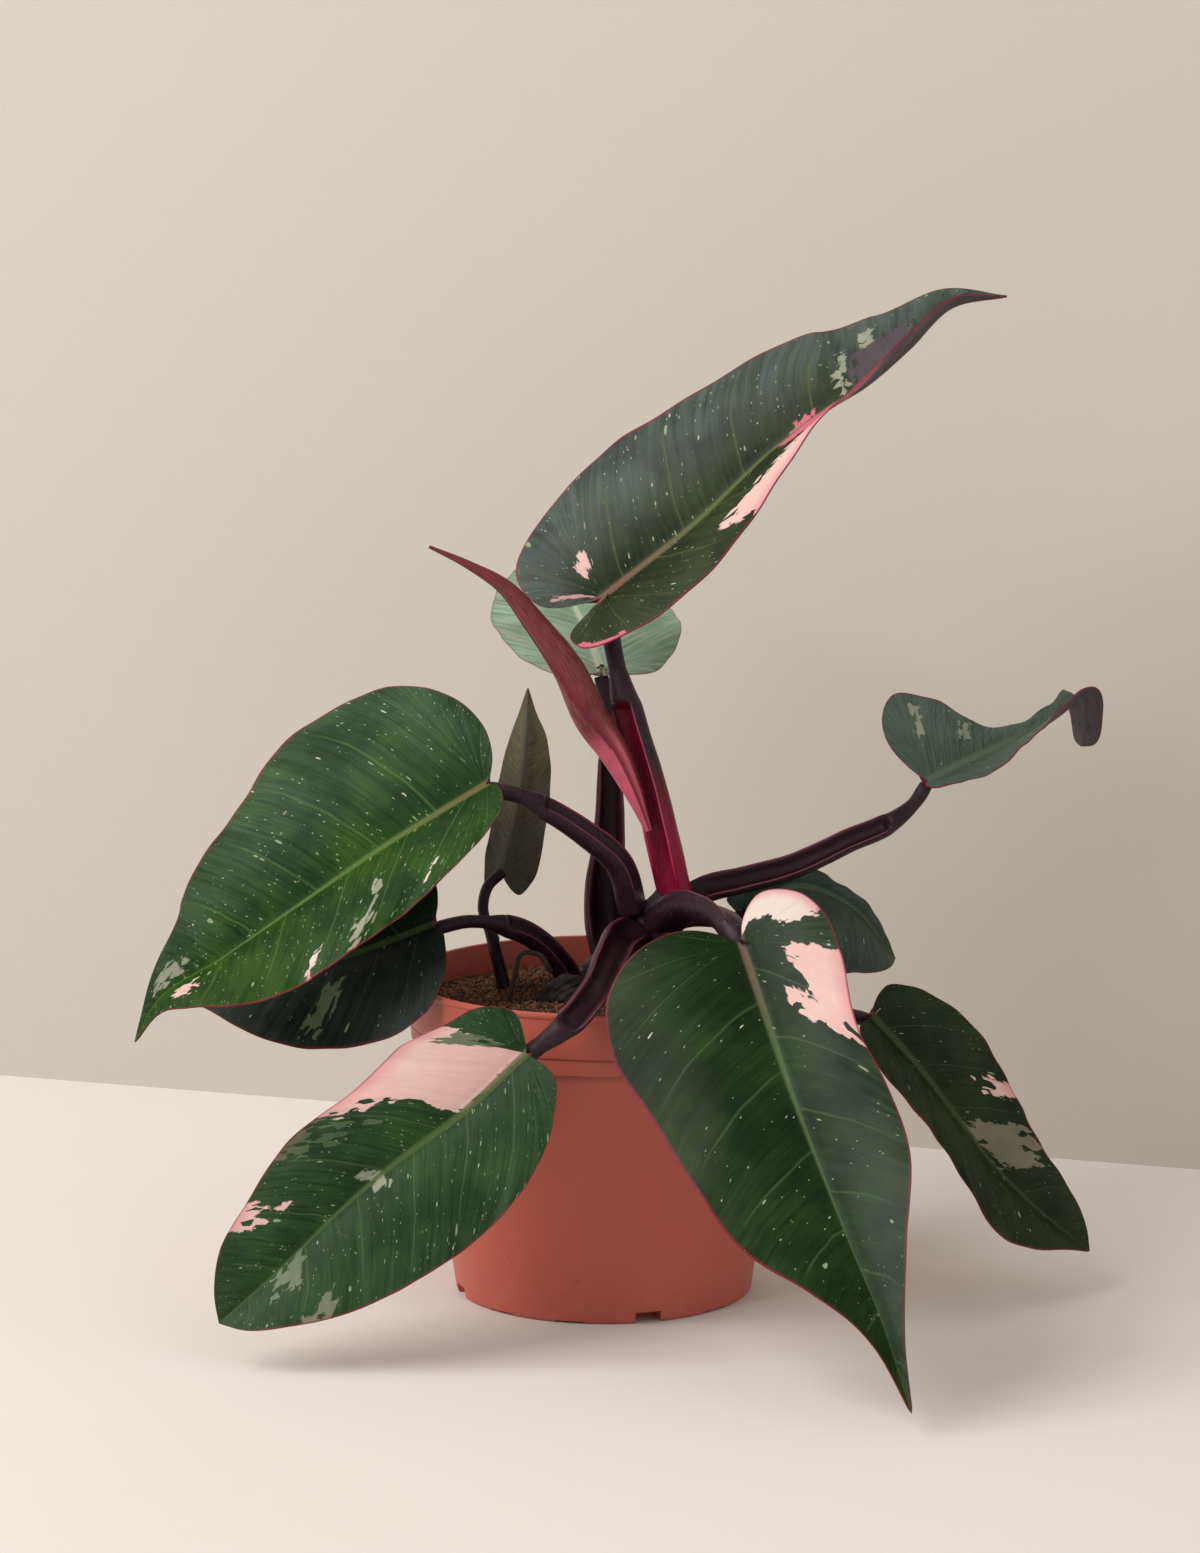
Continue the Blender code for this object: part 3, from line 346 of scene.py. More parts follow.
# Colours of the blades' patches, margin, painted sheen, mottling, flecks and lines.
CREAM = (0.74, 0.60, 0.52)
BLUSH = (0.74, 0.46, 0.40)
PINK = (0.60, 0.12, 0.18)
PALE_GREEN = (0.24, 0.27, 0.18)
GREY_GREEN = (0.105, 0.150, 0.075)
CRIMSON = (0.22, 0.012, 0.035)
DUSK = (0.070, 0.055, 0.064)
OLD_ROSE = (0.52, 0.26, 0.27)
OLIVE = (0.16, 0.15, 0.10)
MID_GREEN = (0.060, 0.100, 0.040)
# A painted reflection: the grey-blue sheen of the soft light, laid into the blades' colour.
SHEEN_PAINT_COLOUR = (0.140, 0.165, 0.180)
MOTTLE_GREEN = (0.12, 0.17, 0.07)
FLECK_GREEN = (0.30, 0.36, 0.20)
FLECK_CREAM = (0.66, 0.56, 0.44)
LINE_SHADOW = (0.004, 0.008, 0.003)
UNDERSIDE_VEIN = (0.09, 0.08, 0.065)
UNDERSIDE_RIB = (0.10, 0.07, 0.06)

# Colours of the other pieces' skins: the stem, roots and dried sheath have a ground and a scar colour each.
STEM_SKIN = ((0.030, 0.013, 0.020), (0.085, 0.065, 0.075))
ROOT_SKIN = ((0.060, 0.030, 0.024), (0.11, 0.075, 0.060))
DRY_SKIN = ((0.022, 0.0095, 0.011), (0.085, 0.055, 0.050))
WART_GREY = (0.16, 0.13, 0.15)
ROLLED_MOTTLE = (0.20, 0.03, 0.04)
POT_DUST = (0.55, 0.36, 0.28)
POT_SPECK = (0.10, 0.04, 0.025)

# Fleck sizes, as stretch of the vein map, share of places that have one, and reach.
FLECK_KINDS = (((230.0, 15.0, 1.0), 0.10, 0.44),
               ((360.0, 34.0, 1.0), 0.11, 0.44),
               ((110.0, 7.0, 1.0), 0.045, 0.42))

# The finish of each blade: its greens, how strongly each half has the grey-blue painted sheen, a painted
# reflection laid into its colour, how much fine mottling and how many flecks it has, its midrib near the joint
# and further out, how strongly its margin is coloured, and its coloured sectors. A sector is the half it is
# on, where it starts and ends along the edge (shares round from the joint to the tip), where it starts and
# ends from the midrib out, how ragged its ends are, and its colour.
LOOKS = {
    "newest": dict(
        greens=((0.012, 0.022, 0.006), (0.032, 0.050, 0.009)), painted_sheen=(0.42, 0.05), mottle=0.15, flecks=0.8,
        midrib=((0.17, 0.085, 0.055), (0.10, 0.12, 0.035)),
        margin=0.8,
        sectors=(
            ("left", 0.225, 0.315, 0.22, 0.36, 0.05, BLUSH),
            ("left", 0.090, 0.104, 0.15, 0.78, 0.08, OLD_ROSE),
            ("right", 0.478, 0.660, 0.62, 1.20, 0.12, BLUSH),
            ("right", 0.655, 0.770, -0.10, 1.20, 0.03, PINK),
            ("left", 0.690, 0.715, -0.10, 0.07, 0.02, PINK),
            ("right", 0.765, 0.960, -0.10, 1.20, 0.02, DUSK),
            ("left", 0.780, 0.870, -0.10, 0.52, 0.05, DUSK),
            ("right", 0.120, 0.205, 0.93, 1.20, 0.03, PINK),
            ("left", 0.757, 0.772, 0.06, 0.56, 0.06, PALE_GREEN),
            ("left", 0.802, 0.822, 0.48, 0.74, 0.06, PALE_GREEN),
        )),
    "left": dict(
        greens=((0.011, 0.040, 0.006), (0.032, 0.090, 0.007)), painted_sheen=(0.01, 0.15), mottle=0.25, flecks=1.1,
        midrib=((0.14, 0.12, 0.04), (0.10, 0.16, 0.035)),
        margin=0.6,
        sectors=(
            ("left", 0.515, 0.545, 0.55, 0.98, 0.25, PALE_GREEN),
            ("left", 0.606, 0.628, 0.78, 0.97, 0.12, CREAM),
            ("left", 0.376, 0.384, 0.66, 0.80, 0.05, CREAM),
            ("left", 0.860, 0.900, 0.30, 0.62, 0.20, BLUSH),
            ("right", 0.870, 0.925, 0.28, 0.60, 0.20, PALE_GREEN),
        )),
    "left_low": dict(
        greens=((0.004, 0.009, 0.004), (0.012, 0.024, 0.009)), painted_sheen=(0.14, 0.05), mottle=0.1, flecks=0.3,
        midrib=((0.05, 0.07, 0.03), (0.05, 0.08, 0.03)),
        margin=0.5,
        sectors=(("left", 0.558, 0.600, 0.32, 0.86, 0.12, GREY_GREEN),)),
    "front_left": dict(
        greens=((0.012, 0.038, 0.008), (0.028, 0.074, 0.010)), painted_sheen=(0.07, 0.10), mottle=0.5, flecks=0.8,
        midrib=((0.11, 0.12, 0.05), (0.08, 0.12, 0.04)),
        margin=0.6,
        sectors=(
            ("right", 0.235, 0.345, 0.36, 0.98, 0.22, GREY_GREEN),
            ("right", 0.315, 0.500, -0.10, 1.20, 0.20, BLUSH),
            ("right", 0.235, 0.330, 0.80, 1.20, 0.20, BLUSH),
            ("right", 0.495, 0.550, 0.78, 1.20, 0.25, BLUSH),
            ("right", 0.560, 0.660, 0.72, 1.10, 0.40, MID_GREEN),
            ("right", 0.755, 0.815, 0.80, 1.20, 0.25, BLUSH),
            ("right", 0.754, 0.772, 0.53, 0.68, 0.06, BLUSH),
            ("left", 0.660, 0.685, -0.10, 0.14, 0.08, PALE_GREEN),
            ("right", 0.665, 0.690, -0.10, 0.12, 0.08, PALE_GREEN),
            ("left", 0.835, 0.895, 0.08, 0.38, 0.20, GREY_GREEN),
            ("left", 0.770, 0.835, 0.80, 1.20, 0.20, GREY_GREEN),
        )),
    "front": dict(
        greens=((0.006, 0.018, 0.004), (0.018, 0.044, 0.006)), painted_sheen=(0.15, 0.0), mottle=0.12, flecks=0.3,
        midrib=((0.14, 0.08, 0.06), (0.07, 0.11, 0.035)),
        margin=0.8,
        sectors=(
            ("left", -0.020, 0.192, 0.50, 1.20, 0.06, CREAM),
            ("left", 0.268, 0.338, 0.48, 1.20, 0.12, BLUSH),
            ("left", 0.330, 0.405, 0.56, 1.20, 0.14, BLUSH),
            ("left", 0.397, 0.442, 0.38, 0.92, 0.14, BLUSH),
        )),
    "right_low": dict(
        greens=((0.007, 0.016, 0.004), (0.018, 0.036, 0.007)), painted_sheen=(0.05, 0.02), mottle=0.2, flecks=0.35,
        midrib=((0.05, 0.06, 0.03), (0.05, 0.06, 0.03)),
        margin=0.6,
        sectors=(
            ("left", 0.635, 0.770, 0.02, 0.85, 0.25, OLIVE),
            ("left", 0.515, 0.560, 0.64, 1.20, 0.15, BLUSH),
            ("left", 0.120, 0.132, 0.04, 0.20, 0.05, CREAM),
        )),
    "right_back": dict(
        greens=((0.011, 0.028, 0.013), (0.020, 0.044, 0.016)), painted_sheen=(0.30, 0.30), mottle=0.15, flecks=0.3,
        midrib=((0.06, 0.09, 0.05), (0.06, 0.09, 0.05)),
        margin=0.5,
        sectors=()),
    "right_high": dict(
        greens=((0.070, 0.100, 0.070), (0.100, 0.150, 0.090)), painted_sheen=(0.35, 0.35), mottle=0.2, flecks=0.4,
        midrib=((0.10, 0.13, 0.09), (0.10, 0.14, 0.09)),
        margin=0.9,
        sectors=(
            ("left", 0.343, 0.368, 0.45, 0.84, 0.06, PALE_GREEN),
            ("left", 0.478, 0.505, 0.50, 0.82, 0.08, PALE_GREEN),
        )),
    "back_high": dict(
        greens=((0.330, 0.440, 0.350), (0.215, 0.330, 0.190)), painted_sheen=(0.0, 0.0), mottle=0.3, flecks=0.3,
        midrib=((0.50, 0.50, 0.38), (0.45, 0.48, 0.34)),
        margin=0.4,
        sectors=(("left", 0.340, 0.360, 0.10, 0.90, 0.20, PALE_GREEN),)),
    "small_back": dict(
        greens=((0.030, 0.045, 0.020), (0.045, 0.055, 0.022)), painted_sheen=(0.2, 0.2), mottle=0.3, flecks=0.2,
        midrib=((0.06, 0.07, 0.04), (0.06, 0.07, 0.04)),
        margin=0.4,
        sectors=()),
}

# Two tones of each blade's lower side, where it isn't the plain one.
UNDERSIDES = {
    "newest": ((0.050, 0.038, 0.048), (0.080, 0.064, 0.074)),
    "right_high": ((0.080, 0.062, 0.074), (0.12, 0.095, 0.105)),
    "small_back": ((0.092, 0.078, 0.056), (0.125, 0.112, 0.042)),
}
PLAIN_UNDERSIDE = ((0.040, 0.048, 0.028), (0.062, 0.070, 0.042))


# Shapes


def unit(vectors):
    """The vectors, each made one long."""
    return vectors / np.linalg.norm(vectors, axis=-1, keepdims=True)


def smooth_curve(knots, values, where):
    """Values of a smooth curve through the given values at the given knots."""
    knots = np.asarray(knots, float)
    values = np.asarray(values, float)
    where = np.clip(np.asarray(where, float), knots[0], knots[-1])
    slopes = np.diff(values, axis=0) / np.diff(knots)[:, None]
    tangents = np.empty_like(values)
    tangents[0], tangents[-1] = slopes[0], slopes[-1]
    for i in range(1, len(knots) - 1):
        before, after = knots[i] - knots[i - 1], knots[i + 1] - knots[i]
        tangents[i] = (slopes[i - 1] * after + slopes[i] * before) / (before + after)
    i = np.clip(np.searchsorted(knots, where, side="right") - 1, 0, len(knots) - 2)
    step = (knots[i + 1] - knots[i])[:, None]
    s = ((where - knots[i]) / (knots[i + 1] - knots[i]))[:, None]
    return (
        (2 * s**3 - 3 * s**2 + 1) * values[i]
        + (s**3 - 2 * s**2 + s) * step * tangents[i]
        + (3 * s**2 - 2 * s**3) * values[i + 1]
        + (s**3 - s**2) * step * tangents[i + 1]
    )


def chord_knots(points):
    """Distance along the straight lines between the points, at each point."""
    steps = np.linalg.norm(np.diff(np.asarray(points, float), axis=0), axis=1)
    return np.concatenate([[0.0], np.cumsum(steps)])


def along(points, shares):
    """Points and unit directions at shares of the length of a smooth line through the points."""
    knots = chord_knots(points)
    where = np.asarray(shares, float) * knots[-1]
    nudge = knots[-1] * 0.004
    places = smooth_curve(knots, points, where)
    ahead = smooth_curve(knots, points, where + nudge)
    behind = smooth_curve(knots, points, where - nudge)
    return places, unit(ahead - behind)


def bell(distance, width):
    """One at no distance, falling off smoothly over the width."""
    return np.exp(-((distance / width) ** 2))


def blade_half(leaf, side, shares, columns, veins, relief):
    """Points of one half of a blade and their flat places: rows follow the side veins, columns run out."""
    midrib = np.asarray(leaf["midrib"], float)
    knots = chord_knots(midrib)
    length = knots[-1]
    outline = [(0.0, 0.0), *leaf[side], (length, 0.0)]
    edge_knots = chord_knots(outline)
    edge = smooth_curve(edge_knots, outline, shares * edge_knots[-1])
    start = length * (np.clip((shares - LOBE_SHARE) / (1 - LOBE_SHARE), 0, 1) ** VEIN_LEAN)
    t = columns[None, :]
    bend_u = start[:, None] + VEIN_BEND[0] * (edge[:, :1] - start[:, None])
    bend_d = VEIN_BEND[1] * edge[:, 1:]
    u = (1 - t) ** 2 * start[:, None] + 2 * t * (1 - t) * bend_u + t**2 * edge[:, :1]
    d = 2 * t * (1 - t) * bend_d + t**2 * edge[:, 1:]
    flat = u.ravel()
    inside = np.clip(flat, 0, length)
    centre = smooth_curve(knots, midrib, inside)
    ahead = smooth_curve(knots, midrib, np.clip(inside + TANGENT_STEP, 0, length))
    behind = smooth_curve(knots, midrib, np.clip(inside - TANGENT_STEP, 0, length))
    forward = unit(ahead - behind)
    stations = np.linspace(0, length, len(leaf["facing"]))
    facing = smooth_curve(stations, leaf["facing"], inside)
    up = unit(facing[:, :3] - (facing[:, :3] * forward).sum(1, keepdims=True) * forward)
    across = np.cross(up, forward)
    hand = 0 if side == "left" else 1
    fold = np.radians(facing[:, 3 + hand])
    curl = np.radians(leaf["curl"][hand]) / CURL_LENGTH
    out = d.ravel()
    lateral = (np.sin(fold + curl * out) - np.sin(fold)) / curl
    rise = (np.cos(fold) - np.cos(fold + curl * out)) / curl
    depth, waves, phase = leaf["wave"]
    row = shares[:, None]
    ripple = depth * t**3 * np.sin(2 * math.pi * waves * row + phase + hand)
    ripple = ripple * np.sin(math.pi * np.clip(row, 0, 1))
    frill = FRILL_DEPTH * t**4 * np.sin(2 * math.pi * (waves * FRILL_WAVES) * row + 2 * phase)
    ripple += frill * np.sin(math.pi * row)
    nearest = np.abs((row * veins) % 1.0 - 0.5)
    window = np.clip(4 * t * (1 - t), 0, 1) * np.clip(d / QUILT_FADE, 0, 1)
    groove = bell(nearest, QUILT_GROOVE)
    quilt = relief * (QUILT_LEVEL - groove - QUILT_DIP[0] * bell(nearest - 0.5, QUILT_DIP[1])) * window
    size = np.clip(1 - u / length, 0.15, 1)
    height, half_width = MIDRIB_RIDGE
    dip, distance, hollow_width = MIDRIB_HOLLOW
    ridge = height * size * bell(d, half_width) - dip * size * bell(d - distance, hollow_width)
    lift = (ripple + quilt + ridge).ravel()
    sign = 1.0 if hand == 0 else -1.0
    points = centre + (flat - inside)[:, None] * forward
    points = points + sign * lateral[:, None] * across + (rise + lift)[:, None] * up
    return points.reshape(len(shares), len(columns), 3), np.stack([u, d], -1)


def sheet_mesh(name, grids, uv_layers, weights):
    """One mesh from grids of points, each with its UV maps and a weight on each point."""
    points, quads, groups = [], [], []
    uvs = {layer: [] for layer in uv_layers}
    total = 0
    for number, (grid, flip) in enumerate(grids):
        rows, columns = grid.shape[:2]
        index = np.arange(rows * columns).reshape(rows, columns)
        corners = np.stack([index[:-1, :-1], index[1:, :-1], index[1:, 1:], index[:-1, 1:]], -1)
        corners = corners.reshape(-1, 4)
        if flip:
            corners = corners[:, ::-1]
        points.append(grid.reshape(-1, 3))
        groups.append(weights[number].ravel())
        for layer, maps in uv_layers.items():
            uvs[layer].append(maps[number].reshape(-1, 2)[corners.ravel()])
        quads.append(corners + total)
        total += rows * columns
    points = np.concatenate(points) * MM
    quads = np.concatenate(quads)
    mesh = bpy.data.meshes.new(name)
    mesh.from_pydata(points.tolist(), [], quads.tolist())
    for layer, parts in uvs.items():
        made = mesh.uv_layers.new(name=layer)
        made.data.foreach_set("uv", np.concatenate(parts).astype(np.float32).ravel())
    rib = mesh.attributes.new("rib", "FLOAT", "POINT")
    rib.data.foreach_set("value", np.concatenate(groups).astype(np.float32))
    work = bmesh.new()
    work.from_mesh(mesh)
    bmesh.ops.remove_doubles(work, verts=work.verts, dist=2e-6)
    bmesh.ops.dissolve_degenerate(work, edges=work.edges, dist=1e-6)
    work.to_mesh(mesh)
    work.free()
    return mesh


def skin(name, rings, attributes=None, uv_scale=(1.0, 1.0)):
    """Closed smooth mesh through rings of equal point counts; UV map "round" runs round and along them."""
    rings = np.asarray(rings, float)
    stations, count = rings.shape[:2]
    middle = rings.mean(1)
    run = chord_knots(middle)
    index = np.arange(stations * count).reshape(stations, count)
    after = np.roll(index, -1, axis=1)
    quads = np.stack([index[:-1], after[:-1], after[1:], index[1:]], -1).reshape(-1, 4)
    first, last = stations * count, stations * count + 1
    fans = [(after[0, k], index[0, k], first) for k in range(count)]
    fans += [(index[-1, k], after[-1, k], last) for k in range(count)]
    points = np.concatenate([rings.reshape(-1, 3), middle[:1], middle[-1:]]) * MM
    mesh = bpy.data.meshes.new(name)
    mesh.from_pydata(points.tolist(), [], quads.tolist() + fans)
    across = np.arange(count + 1) / count * uv_scale[0]
    lengthways = run * uv_scale[1]
    cells = np.empty((stations - 1, count, 4, 2), np.float32)
    for corner, (low, step) in enumerate(((0, 0), (0, 1), (1, 1), (1, 0))):
        cells[:, :, corner, 0] = across[step : step + count][None, :]
        cells[:, :, corner, 1] = lengthways[low : low + stations - 1][:, None]
    caps = np.zeros((2, count, 3, 2), np.float32)
    caps[..., 0] = across[:count][None, :, None]
    caps[1, ..., 1] = lengthways[-1]
    layer = mesh.uv_layers.new(name="round")
    layer.data.foreach_set("uv", np.concatenate([cells.ravel(), caps.ravel()]))
    for key, values in (attributes or {}).items():
        values = np.asarray(values, float)
        ends = [values[0].mean(), values[-1].mean()]
        made = mesh.attributes.new(key, "FLOAT", "POINT")
        made.data.foreach_set("value", np.concatenate([values.ravel(), ends]).astype(np.float32))
    work = bmesh.new()
    work.from_mesh(mesh)
    bmesh.ops.recalc_face_normals(work, faces=work.faces)
    work.to_mesh(mesh)
    work.free()
    mesh.shade_smooth()
    return mesh


def round_rings(line, radii, sides, stations, shape=None):
    """Rings of a tapered round piece along a line; shape scales the radius by share and angle."""
    shares = np.linspace(0.0, 1.0, stations)
    places, forward = along(line, shares)
    radius = smooth_curve(np.linspace(0, 1, len(radii)), np.asarray(radii, float)[:, None], shares)[:, 0]
    side = unit(np.cross(forward, (0.0, 1.0, 0.0)))
    top = np.cross(side, forward)
    angle = 2 * math.pi * np.arange(sides) / sides
    reach = radius[:, None] * (shape(shares[:, None], angle[None, :]) if shape else np.ones((1, sides)))
    cosine, sine = np.cos(angle)[None, :, None], np.sin(angle)[None, :, None]
    round_part = cosine * side[:, None, :] + sine * top[:, None, :]
    return places[:, None, :] + reach[..., None] * round_part


def rounded_end(rings, at, steps=3):
    """The rings with a rounded tip added before the first or after the last."""
    ring = rings[at]
    middle = ring.mean(0)
    size = np.linalg.norm(ring - middle, axis=1).mean()
    way = unit(middle - rings[1 if at == 0 else -2].mean(0))
    extra = []
    for k in range(1, steps + 1):
        turn = 0.5 * math.pi * k / (steps + 0.6)
        extra.append(middle + (ring - middle) * math.cos(turn) + way * 0.6 * size * math.sin(turn))
    if at == 0:
        return np.concatenate([np.array(extra[::-1]), rings])
    return np.concatenate([rings, np.array(extra)])


def seated_line(leaf):
    """Centre line of a petiole, its end let a little way into the lower side of the midrib's start."""
    base, ahead = np.asarray(leaf["midrib"][:2], float)
    forward = unit(ahead - base)
    facing = np.asarray(leaf["facing"][0][:3], float)
    up = unit(facing - (facing @ forward) * forward)
    line = [np.asarray(point, float) for point in leaf["petiole"]]
    arriving = unit(base - line[-2])
    lean = math.sqrt(max(0.0, 1.0 - float(arriving @ up) ** 2))
    line[-1] = base - up * (MIDRIB_THICKNESS - PETIOLE_SEAT + leaf["radii"][2] * lean)
    return line


def petiole_rings(leaf):
    """Sections of a petiole with, at each point, how far it is in the channel and how near the edge."""
    start, end = leaf["sheath"]
    line = seated_line(leaf)
    ligule = LIGULE_LENGTH / chord_knots(line)[-1]
    shares = np.unique(np.concatenate([np.linspace(0.0, 1.0, PETIOLE_STATIONS),
                                       np.linspace(end - ligule, end + ligule, LIGULE_STATIONS)]))
    places, forward = along(line, shares)
    base, middle, tip = leaf["radii"]
    radius = np.interp(shares, [0.0, end, min(end + NECK_LENGTH, NECK_END), JOINT_AT, 1.0],
                       [base, middle, tip * NECK_SWELL, tip * JOINT_SWELL, tip * NECK_SWELL])
    opening = np.interp(shares, [start, start + SHEATH_OPENS_OVER, end - ligule * 0.5, end + ligule * 0.5],
                        [SHEATH_STARTS_OPEN, 1, 1, 0])
    opening = opening * opening * (3 - 2 * opening)
    half = math.radians(CHANNEL_HALF_ANGLE)
    opens = np.asarray(leaf["opens"], float)
    top = unit(opens - (forward @ opens)[:, None] * forward)
    side = np.cross(forward, top)
    outer_angle = np.linspace(-half, half, SECTION_OUTER)
    share = np.arange(1, SECTION_INNER + 1) / (SECTION_INNER + 1)
    inner_angle = half + share * (2 * math.pi - 2 * half)
    size, wide = radius[:, None], opening[:, None]
    wing = 1 + WING_SPREAD * wide * np.ones((1, SECTION_OUTER))
    near_edge = np.clip(np.abs(outer_angle)[None, :] / half - LIP_FROM, 0, 1) / (1 - LIP_FROM)
    lip = 1 + WING_LIP * wide * near_edge
    outer_x = size * np.sin(outer_angle)[None, :] * wing
    outer_y = -size * np.cos(outer_angle)[None, :] * lip
    full_x = size * np.sin(inner_angle)[None, :]
    full_y = -size * np.cos(inner_angle)[None, :]
    spread = size * math.sin(half) * (1 - 2 * share)[None, :] * CHANNEL_REACH
    level = -size * math.cos(half)
    floor = -CHANNEL_FLOOR * size
    dip = floor + (level - floor) * (np.abs(1 - 2 * share)[None, :] ** CHANNEL_ROUNDNESS) * CHANNEL_REACH
    inner_x = wide * spread + (1 - wide) * full_x
    inner_y = wide * dip + (1 - wide) * full_y
    x = np.concatenate([outer_x, inner_x], 1)
    y = np.concatenate([outer_y, inner_y], 1)
    wobble = 1 + SKIN_WOBBLE * np.sin(40 * shares[:, None] + 3 * np.arange(x.shape[1])[None, :] / 6)
    rings = places[:, None, :] + (x * wobble)[..., None] * side[:, None, :] + y[..., None] * top[:, None, :]
    count = SECTION_OUTER + SECTION_INNER
    channel = np.zeros((len(shares), count))
    channel[:, SECTION_OUTER:] = wide * (1 - np.abs(1 - 2 * share) ** 3)[None, :]
    place = np.arange(count)
    from_edge = np.minimum(np.minimum(place, np.abs(place - SECTION_OUTER + 1)), count - place)
    edge = wide * bell(from_edge, SHEATH_EDGE_WIDTH)[None, :]
    return rings, channel, edge


# Node trees


def put(tree, kind, sockets=None, **settings):
    """Adds a node. sockets maps an input's name or number to a value, or to an output that feeds it."""
    node = tree.nodes.new(kind)
    for key, value in settings.items():
        setattr(node, key, value)
    for key, value in (sockets or {}).items():
        if isinstance(value, bpy.types.NodeSocket):
            tree.links.new(value, node.inputs[key])
        else:
            node.inputs[key].default_value = value
    return node


def maths(tree, operation, a, b=0.0, c=0.0):
    return put(tree, "ShaderNodeMath", {0: a, 1: b, 2: c}, operation=operation).outputs[0]


def ramp(tree, value, low, high, start=0.0, end=1.0):
    """Start below low, end above high, and a smooth step between."""
    sockets = {0: value, 1: low, 2: high, 3: start, 4: end}
    return put(tree, "ShaderNodeMapRange", sockets, interpolation_type="SMOOTHSTEP").outputs[0]


def tint(tree, factor, first, second, way="MIX"):
    """First colour with the second laid over it by the factor."""
    node = put(tree, "ShaderNodeMix", {0: factor}, data_type="RGBA", blend_type=way)
    for place, colour in ((6, first), (7, second)):
        if isinstance(colour, bpy.types.NodeSocket):
            tree.links.new(colour, node.inputs[place])
        else:
            node.inputs[place].default_value = (*colour[:3], 1.0)
    return node.outputs[2]


def times(factor, colour):
    return tuple(factor * part for part in colour)


def stretched(tree, vector, scale, shift=(0.0, 0.0, 0.0)):
    return put(tree, "ShaderNodeMapping", {0: vector, 1: shift, 3: scale}).outputs[0]


def noise(tree, vector, scale, detail=2.0, roughness=0.5):
    sockets = {"Vector": vector, "Scale": scale, "Detail": detail, "Roughness": roughness}
    return put(tree, "ShaderNodeTexNoise", sockets).outputs[0]


def group_tree(name, inputs, outputs):
    """A new shader node group with its named sockets: its tree, its inputs' outputs and its output node."""
    tree = bpy.data.node_groups.new(name, "ShaderNodeTree")
    for label, kind, value in inputs:
        socket = tree.interface.new_socket(label, in_out="INPUT", socket_type="NodeSocket" + kind)
        if value is not None:
            socket.default_value = value
    for label, kind in outputs:
        tree.interface.new_socket(label, in_out="OUTPUT", socket_type="NodeSocket" + kind)
    return tree, tree.nodes.new("NodeGroupInput").outputs, tree.nodes.new("NodeGroupOutput")


def give(tree, output, values):
    for label, value in values.items():
        tree.links.new(value, output.inputs[label])


def use_group(tree, name, sockets):
    return put(tree, "ShaderNodeGroup", sockets, node_tree=bpy.data.node_groups[name]).outputs


def build_vein_group():
    """Side veins, the fine lines between them, and their relief, in a blade's vein coordinates."""
    tree, given, made = group_tree(
        "leaf veins",
        (("Vein", "Vector", None), ("Main veins", "Float", 8.0), ("Fine lines", "Float", 90.0)),
        (("Main", "Float"), ("Fine", "Float"), ("Streak", "Float"), ("Height", "Float")))
    drift = noise(tree, stretched(tree, given["Vein"], (14.0, 3.0, 1.0)), 1.0)
    parts = put(tree, "ShaderNodeSeparateXYZ", {0: given["Vein"]}).outputs
    row = maths(tree, "MULTIPLY_ADD", drift, 0.010, parts[0])
    phase = maths(tree, "PINGPONG", maths(tree, "MULTIPLY_ADD", row, given["Main veins"], 0.5), 0.5)
    main = ramp(tree, phase, 0.006, 0.028, 1.0, 0.0)
    fade = ramp(tree, parts[1], 0.62, 0.97, 1.0, 0.0)
    main = maths(tree, "MULTIPLY", main, fade)
    lines = put(tree, "ShaderNodeCombineXYZ", {0: maths(tree, "MULTIPLY", row, given["Fine lines"]),
                                               1: maths(tree, "MULTIPLY", parts[1], 1.6)}).outputs[0]
    fine = noise(tree, lines, 1.0, 3.0, 0.65)
    wide_lines = stretched(tree, lines, (0.5, 0.5, 1.0))
    streak = noise(tree, wide_lines, 1.0, 2.0, 0.5)
    height = maths(tree, "MULTIPLY_ADD", fine, 0.55, maths(tree, "MULTIPLY", main, -0.5))
    give(tree, made, {"Main": main, "Fine": fine, "Streak": streak, "Height": height})


